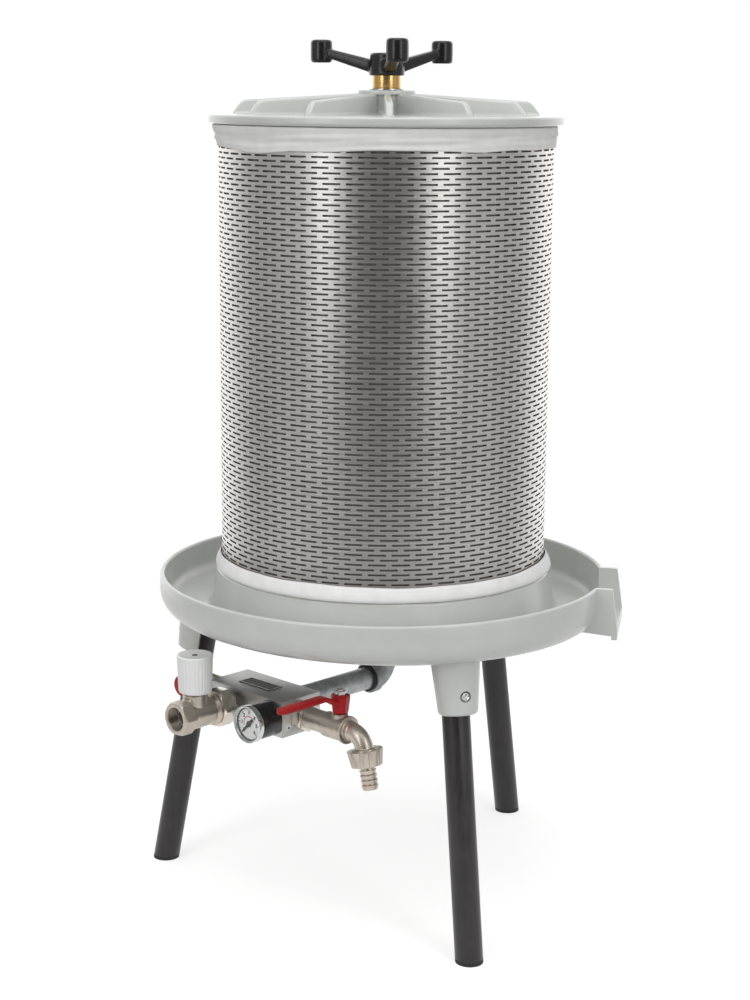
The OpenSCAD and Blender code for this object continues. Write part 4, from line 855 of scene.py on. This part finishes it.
def overflow_spring():
    """The spring over the overflow's disc."""
    low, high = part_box("overflow_spring")
    height = (high[2] - low[2]) / MM
    rows = []
    for i in range(SPRING_TURNS * SPRING_STEPS + 1):
        turn = TAU * i / SPRING_STEPS
        z = SPRING_WIRE + (height - 2 * SPRING_WIRE) * i / (SPRING_TURNS * SPRING_STEPS)
        ring = [(SPRING_RADIUS + SPRING_WIRE * math.cos(t), z + SPRING_WIRE * math.sin(t))
                for t in np.linspace(0, TAU, SPRING_SIDES, endpoint=False)]
        rows.append([(r * math.cos(turn), r * math.sin(turn), level) for r, level in ring])
    piece = mesh_object("overflow_spring_wire", capped(rows), BODY_OF["overflow_spring"], "stainless",
                        nodes=("overflow_spring",),
                        place=Matrix.Translation(middle_of(low, high, low[2])))
    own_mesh(piece)


# Overflow knob, in millimetres: its flutes, the steps round each, their depth, their ends and their run-out
KNOB_FLUTES, FLUTE_STEPS, FLUTE_DEPTH, FLUTE_END, FLUTE_RUNS = 30, 8, 0.6, 3, (4, 2)
# Its bore, the hole over its screw, its foot's radius, the rounding of its foot and top, and its roof
KNOB_BORE, KNOB_HOLE, KNOB_FOOT_R, KNOB_FOOT_ROUND, KNOB_TOP_ROUND, KNOB_ROOF = 13.7, 3.0, 16.75, 2.5, 1.6, 8
# Its plain ends and the rows between them, and the least radius with flutes
KNOB_END, KNOB_ROWS, FLUTE_LEAST_R = 4, 12, KNOB_FOOT_R - 0.1
# From its top: its raised edge from its greatest radius, the hole from the hole's radius, and the screw's
# end, a near-black disc of painted shade in the hole
KNOB_EDGE = ((-3.2, 0), (-3.8, -0.7))
KNOB_MOUTH = ((0.4, -0.7), (0, -1.2), (0, -KNOB_ROOF))
SCREW_LEVELS = (-7, -0.9)


def overflow_knob():
    """The fluted knob with a raised edge round its top and a hole over its screw."""
    low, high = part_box("overflow_knob")
    place = Matrix.Translation(middle_of(low, high, low[2]))
    tall = (high[2] - low[2]) / MM
    wide = (high[0] - low[0]) / 2 / MM
    section = [(KNOB_BORE, 0)]
    section += arc((KNOB_FOOT_R - KNOB_FOOT_ROUND, KNOB_FOOT_ROUND), KNOB_FOOT_ROUND, -90, 0, 6)
    for z in np.linspace(KNOB_END, tall - KNOB_END, KNOB_ROWS):
        section.append((KNOB_FOOT_R + (wide - KNOB_FOOT_R) * z / tall, z))
    section += arc((wide - KNOB_TOP_ROUND, tall - KNOB_TOP_ROUND), KNOB_TOP_ROUND, 0, 90, 6)
    section += [(wide + out, tall + up) for out, up in KNOB_EDGE]
    section += [(KNOB_HOLE + out, tall + up) for out, up in KNOB_MOUTH]
    section.append((KNOB_BORE, tall - KNOB_ROOF))

    def flute(r, z, t):
        if r < FLUTE_LEAST_R:
            return 0.0
        run = clamped((z - FLUTE_END) / FLUTE_RUNS[0]) * clamped((tall - FLUTE_END - z) / FLUTE_RUNS[1])
        return -FLUTE_DEPTH * run * max(math.cos(KNOB_FLUTES * t), 0.0) ** 2

    mesh_object("overflow_knob_moulding", lathe(section, FLUTE_STEPS * KNOB_FLUTES, flute), "knob",
                "white_plastic", smooth=50.0, nodes=("overflow_knob",), place=place)
    # Painted shade: a near-black disc fills the hole below its mouth
    end = disc(KNOB_HOLE, *(tall + up for up in SCREW_LEVELS))
    mesh_object("overflow_screw_end_shade", end, "knob", "screw_painted_shade", place=place)


# Drain lever, in millimetres above the water's axis: reach, height and half thickness, and its round tip
LEVER_HALF, LEVER_Z, LEVER_CORNER = 6.5, 35.0, 0.4
LEVER_SIDE = ((0.0, 27.0, 3.2), (9.0, 27.6, 3.0), (13.0, 29.6, 2.7), (18.0, 33.0, 2.5), (23.0, 34.9, 2.5),
              (28.0, 35.2, 2.5), (74.0, LEVER_Z, 2.5))
TIP_REACH, TIP_HALF_T, TIP_LEAST = 77.3, 2.4, 0.6
TIP_TURNS = np.radians((15, 35, 55, 75, 86))
# Its lobed hub: height and radius
LEVER_HUB = ((15.5, 7.0), (17.0, 7.8), (24.0, 8.6), (31.0, 9.4), (33.6, 9.2), (34.5, 8.0))
HUB_LOBES, LOBE_DEPTH, HUB_STEPS = 5, 0.07, 60


def lever_path():
    """Side view of the lever from its hub to its tip: reach, height, half width and half thickness."""
    path = [(reach, z, LEVER_HALF, half) for reach, z, half in LEVER_SIDE]
    for t in TIP_TURNS:
        half = max(LEVER_HALF * math.cos(t), TIP_LEAST)
        path.append((TIP_REACH + LEVER_HALF * math.sin(t), LEVER_Z, half, TIP_HALF_T))
    return path


def tap_lever():
    """The drain tap's forged lever with its lobed hub."""
    low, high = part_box("tap_stem")
    place = (Matrix.Translation(middle_of(low, high, WATER_Z))
             @ Matrix.Rotation(-WATER_TURN - math.pi / 2, 4, "Z"))
    turns = np.linspace(0, TAU, HUB_STEPS, endpoint=False)
    rows = []
    for z, r in LEVER_HUB:
        ring = [(r * (1 + LOBE_DEPTH * math.cos(HUB_LOBES * t)), t) for t in turns]
        rows.append([(reach * math.cos(t), reach * math.sin(t), z) for reach, t in ring])
    skin_object("tap_lever_forging", [capped(rows), swept_bar(lever_path(), LEVER_CORNER)], LEVER_SKIN,
                "drain_lever", "red_lever", ("tap_lever",), place)


# Label plate, in millimetres: its half sides, and its edge as inset and height
LABEL_X, LABEL_Y = 23, 9
LABEL_SECTION = ((0.1, -0.3), (0.1, 0.1), (0.25, 0.2), (0.9, 0.2), (1.0, 0.1), (1.0, -0.3), (0.1, -0.3))


def label_edge():
    """The fine bright edge of the bare label plate."""
    low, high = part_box("label_plate")
    place = Matrix.Translation(middle_of(low, high, high[2])) @ Matrix.Rotation(-WATER_TURN, 4, "Z")
    rows = []
    for inset, z in LABEL_SECTION:
        x, y = LABEL_X - inset, LABEL_Y - inset
        rows.append([(-x, -y, z), (x, -y, z), (x, y, z), (-x, y, z)])
    mesh_object("label_edge", grid(rows, around=True), "stand", "label_edge", smooth=30.0,
                place=place)


# Brightness of the studio in reflections, from behind the press (0) round to the camera's side (1)
STUDIO = ((0.0, 1.7), (0.15, 1.6), (0.22, 1.25), (0.29, 0.85), (0.37, 0.52), (0.5, 0.46), (0.58, 0.56),
          (0.66, 0.66), (0.74, 0.5), (0.82, 0.28), (0.9, 0.14), (1.0, 0.12))
# Its scale, its change to the right, and the least level run of a direction
STUDIO_MAX, STUDIO_RIGHT, LEAST_RUN = 1.8, 0.06, 0.05
# Brightness of its ceiling, and the rise over which that comes in
CEILING, CEILING_RISE = 0.8, (0.35, 0.8)
# Fill light on matt surfaces from below and above, and the rise between them
FILL_LOW, FILL_HIGH, FILL_RISE = 0.2, 0.48, (-0.2, 0.25)
# Floor: radius, steps round it, where it fades out, its greys and the size of their patches, and its glow
FLOOR_R, FLOOR_STEPS, FADE_START, FADE_END = 1.5, 96, 0.75, 1.3
FLOOR_DARK, FLOOR_PALE, FLOOR_PATCH, FLOOR_GLOW = (0.64, 0.64, 0.64), (0.66, 0.66, 0.66), 3.0, 0.62
BLACK = (0.0, 0.0, 0.0)
# Lamps: name, angle from the camera's side in degrees, distance, height, size in metres and watts
LAMPS = (("box_left", -40, 2.4, 1.25, (0.8, 1.8), 13), ("box_right", 37, 2.4, 1.25, (0.8, 1.8), 13),
         ("box_top", 0, 0.5, 2.9, (2.2, 2.2), 23))
LAMP_AIM = Vector((0, 0, 0.5))


def floor_disc():
    """A pale floor that catches shadows and fades into the white."""
    turns = np.linspace(0, TAU, FLOOR_STEPS, endpoint=False)
    rows = [[(r * math.cos(t), r * math.sin(t), 0) for t in turns] for r in (FLOOR_R, FLOOR_R / 2)]
    verts, faces = grid(rows, around=True)
    faces.append(list(range(FLOOR_STEPS, 2 * FLOOR_STEPS)))
    mesh = bpy.data.meshes.new("floor")
    mesh.from_pydata(verts, [], faces)
    floor = bpy.data.objects.new("floor", mesh)
    bpy.context.scene.collection.objects.link(floor)
    mat, tree, shader, coord = graph("floor")
    length = tree.nodes.new("ShaderNodeVectorMath")
    length.operation = "LENGTH"
    tree.links.new(coord, length.inputs[0])
    away = span(tree, length.outputs["Value"], 0, 1, FADE_START, FADE_END, smooth=True)
    pale = mixed(tree, noise(tree, coord, FLOOR_PATCH), FLOOR_DARK, FLOOR_PALE)
    tree.links.new(mixed(tree, away, pale, BLACK), shader.inputs["Base Color"])
    shader.inputs["Roughness"].default_value = 0.9
    shader.inputs["Specular IOR Level"].default_value = 0.0
    shader.inputs["Emission Color"].default_value = (1, 1, 1, 1)
    rays = tree.nodes.new("ShaderNodeLightPath")
    seen = math_node(tree, "MAXIMUM", rays.outputs["Is Camera Ray"], rays.outputs["Is Glossy Ray"])
    seen = math_node(tree, "MAXIMUM", seen, rays.outputs["Is Transmission Ray"])
    glow = math_node(tree, "MULTIPLY", seen, span(tree, away, FLOOR_GLOW, 1.0, 0, 1))
    tree.links.new(glow, shader.inputs["Emission Strength"])
    paint(floor, mat)


def studio_world():
    """White to the camera, a soft fill to matt surfaces, and a studio with a dim side to glossy ones."""
    world = bpy.data.worlds.new("studio")
    bpy.context.scene.world = world
    world.use_nodes = True
    tree = world.node_tree
    tree.nodes.clear()
    out = tree.nodes.new("ShaderNodeOutputWorld")
    back = tree.nodes.new("ShaderNodeBackground")
    back.inputs["Color"].default_value = (1, 1, 1, 1)
    tree.links.new(back.outputs[0], out.inputs[0])
    split = tree.nodes.new("ShaderNodeSeparateXYZ")
    tree.links.new(tree.nodes.new("ShaderNodeTexCoord").outputs["Generated"], split.inputs[0])
    x, y, z = split.outputs
    level = math_node(tree, "MAXIMUM", length_of(tree, x, y), LEAST_RUN)
    ahead = math_node(tree, "DIVIDE", along(tree, x, y, CAMERA_SIDE), level)
    right = along(tree, x, y, CAMERA_SIDE + math.pi / 2)
    ramp = tree.nodes.new("ShaderNodeValToRGB")
    tree.links.new(span(tree, ahead, 0, 1, -1, 1), ramp.inputs["Fac"])
    elements = ramp.color_ramp.elements
    for i, (place, bright) in enumerate(STUDIO):
        element = elements[i] if i < 2 else elements.new(place)
        element.position = place
        element.color = (bright / STUDIO_MAX,) * 3 + (1,)
    around = math_node(tree, "MULTIPLY", ramp.outputs["Color"],
                       math_node(tree, "MULTIPLY_ADD", right, STUDIO_RIGHT * STUDIO_MAX, STUDIO_MAX))
    above = span(tree, z, 0, 1, *CEILING_RISE, smooth=True)
    ceiling = math_node(tree, "MULTIPLY", above, CEILING)
    gloss = math_node(tree, "MULTIPLY_ADD", around, math_node(tree, "SUBTRACT", 1.0, above), ceiling)
    rays = tree.nodes.new("ShaderNodeLightPath")
    is_gloss = rays.outputs["Is Glossy Ray"]
    seen = math_node(tree, "MAXIMUM", rays.outputs["Is Camera Ray"], rays.outputs["Is Transmission Ray"])
    fill = span(tree, z, FILL_LOW, FILL_HIGH, *FILL_RISE, smooth=True)
    other = math_node(tree, "MULTIPLY", math_node(tree, "SUBTRACT", 1.0, is_gloss),
                      math_node(tree, "MAXIMUM", seen, fill))
    tree.links.new(math_node(tree, "MULTIPLY_ADD", gloss, is_gloss, other), back.inputs["Strength"])


def lamp(name, turn, distance, height, size, power):
    """A rectangular lamp that faces the press."""
    light = bpy.data.lights.new(name, "AREA")
    light.shape = "RECTANGLE"
    light.size, light.size_y = size
    light.energy = power
    obj = bpy.data.objects.new(name, light)
    bpy.context.scene.collection.objects.link(obj)
    a = CAMERA_SIDE + math.radians(turn)
    obj.location = (distance * math.cos(a), distance * math.sin(a), height)
    obj.rotation_euler = (LAMP_AIM - obj.location).to_track_quat("-Z", "Y").to_euler()


def stage():
    """Floor, light and camera."""
    scene = bpy.context.scene
    scene.view_settings.view_transform = "Standard"
    floor_disc()
    studio_world()
    for row in LAMPS:
        lamp(*row)
    camera = bpy.data.objects.new("camera", bpy.data.cameras.new("camera"))
    scene.collection.objects.link(camera)
    camera.data.lens = CAMERA_LENS
    look = Euler((math.radians(CAMERA_TILT), 0, math.radians(CAMERA_TURN))).to_matrix().to_4x4()
    camera.matrix_world = (Matrix.Translation(CAMERA_AT) @ look
                           @ Matrix.Rotation(math.radians(CAMERA_ROLL), 4, "Z"))
    scene.camera = camera


for name, obj in NODES.items():
    paint(obj, MATS[SLOT_OF[name]])

stage()
slotted_basket()
press_bag()
lid_casting()
star_handle()
gauge_face()
outlet_thread()
overflow_spring()
overflow_knob()
tap_lever()
label_edge()
tray_casting()
for name in ("overflow_body", "tap_body", "inlet_body"):
    cast_skin(name)

# Widths of the broken edges of the other pieces that show, in millimetres
SOFT_EDGES = {
    "leg_front": 0.3, "leg_rear": 0.3, "leg_left": 0.3, "foot_cap_front": 0.3, "foot_cap_rear": 0.3,
    "foot_cap_left": 0.3, "leg_screws": 0.2, "handle_nut": 0.4, "thrust_washer": 0.3, "feed_elbow": 0.6,
    "elbow_gasket": 0.4, "feed_pipe": 0.3, "water_block": 0.5, "gauge_case": 0.5, "gauge_bezel": 0.3,
    "union_nut": 0.7, "tap_nipple": 0.5, "tap_lever_nut": 0.5, "hose_nut": 0.5, "hose_tail": 0.3,
    "inlet_nipple": 0.5, "inlet_handle": 0.9, "lock_nut": 0.5,
}
# Finishes that differ from those of the slots. The union nut and the nipple get a paler, glossier copy of the
# nickel: its lower roughness is a finer finish, its paler colour painted highlight.
# The elbow's finish is the pipe's grey darkened, painted shade
OWN_FINISH = {"union_nut": "nickel_painted_light", "tap_nipple": "nickel_painted_light", "feed_elbow": "elbow_painted_shade"}
for name, width in SOFT_EDGES.items():
    piece = softened(name, width * MM)
    if name in OWN_FINISH:
        paint(piece, MATS[OWN_FINISH[name]])
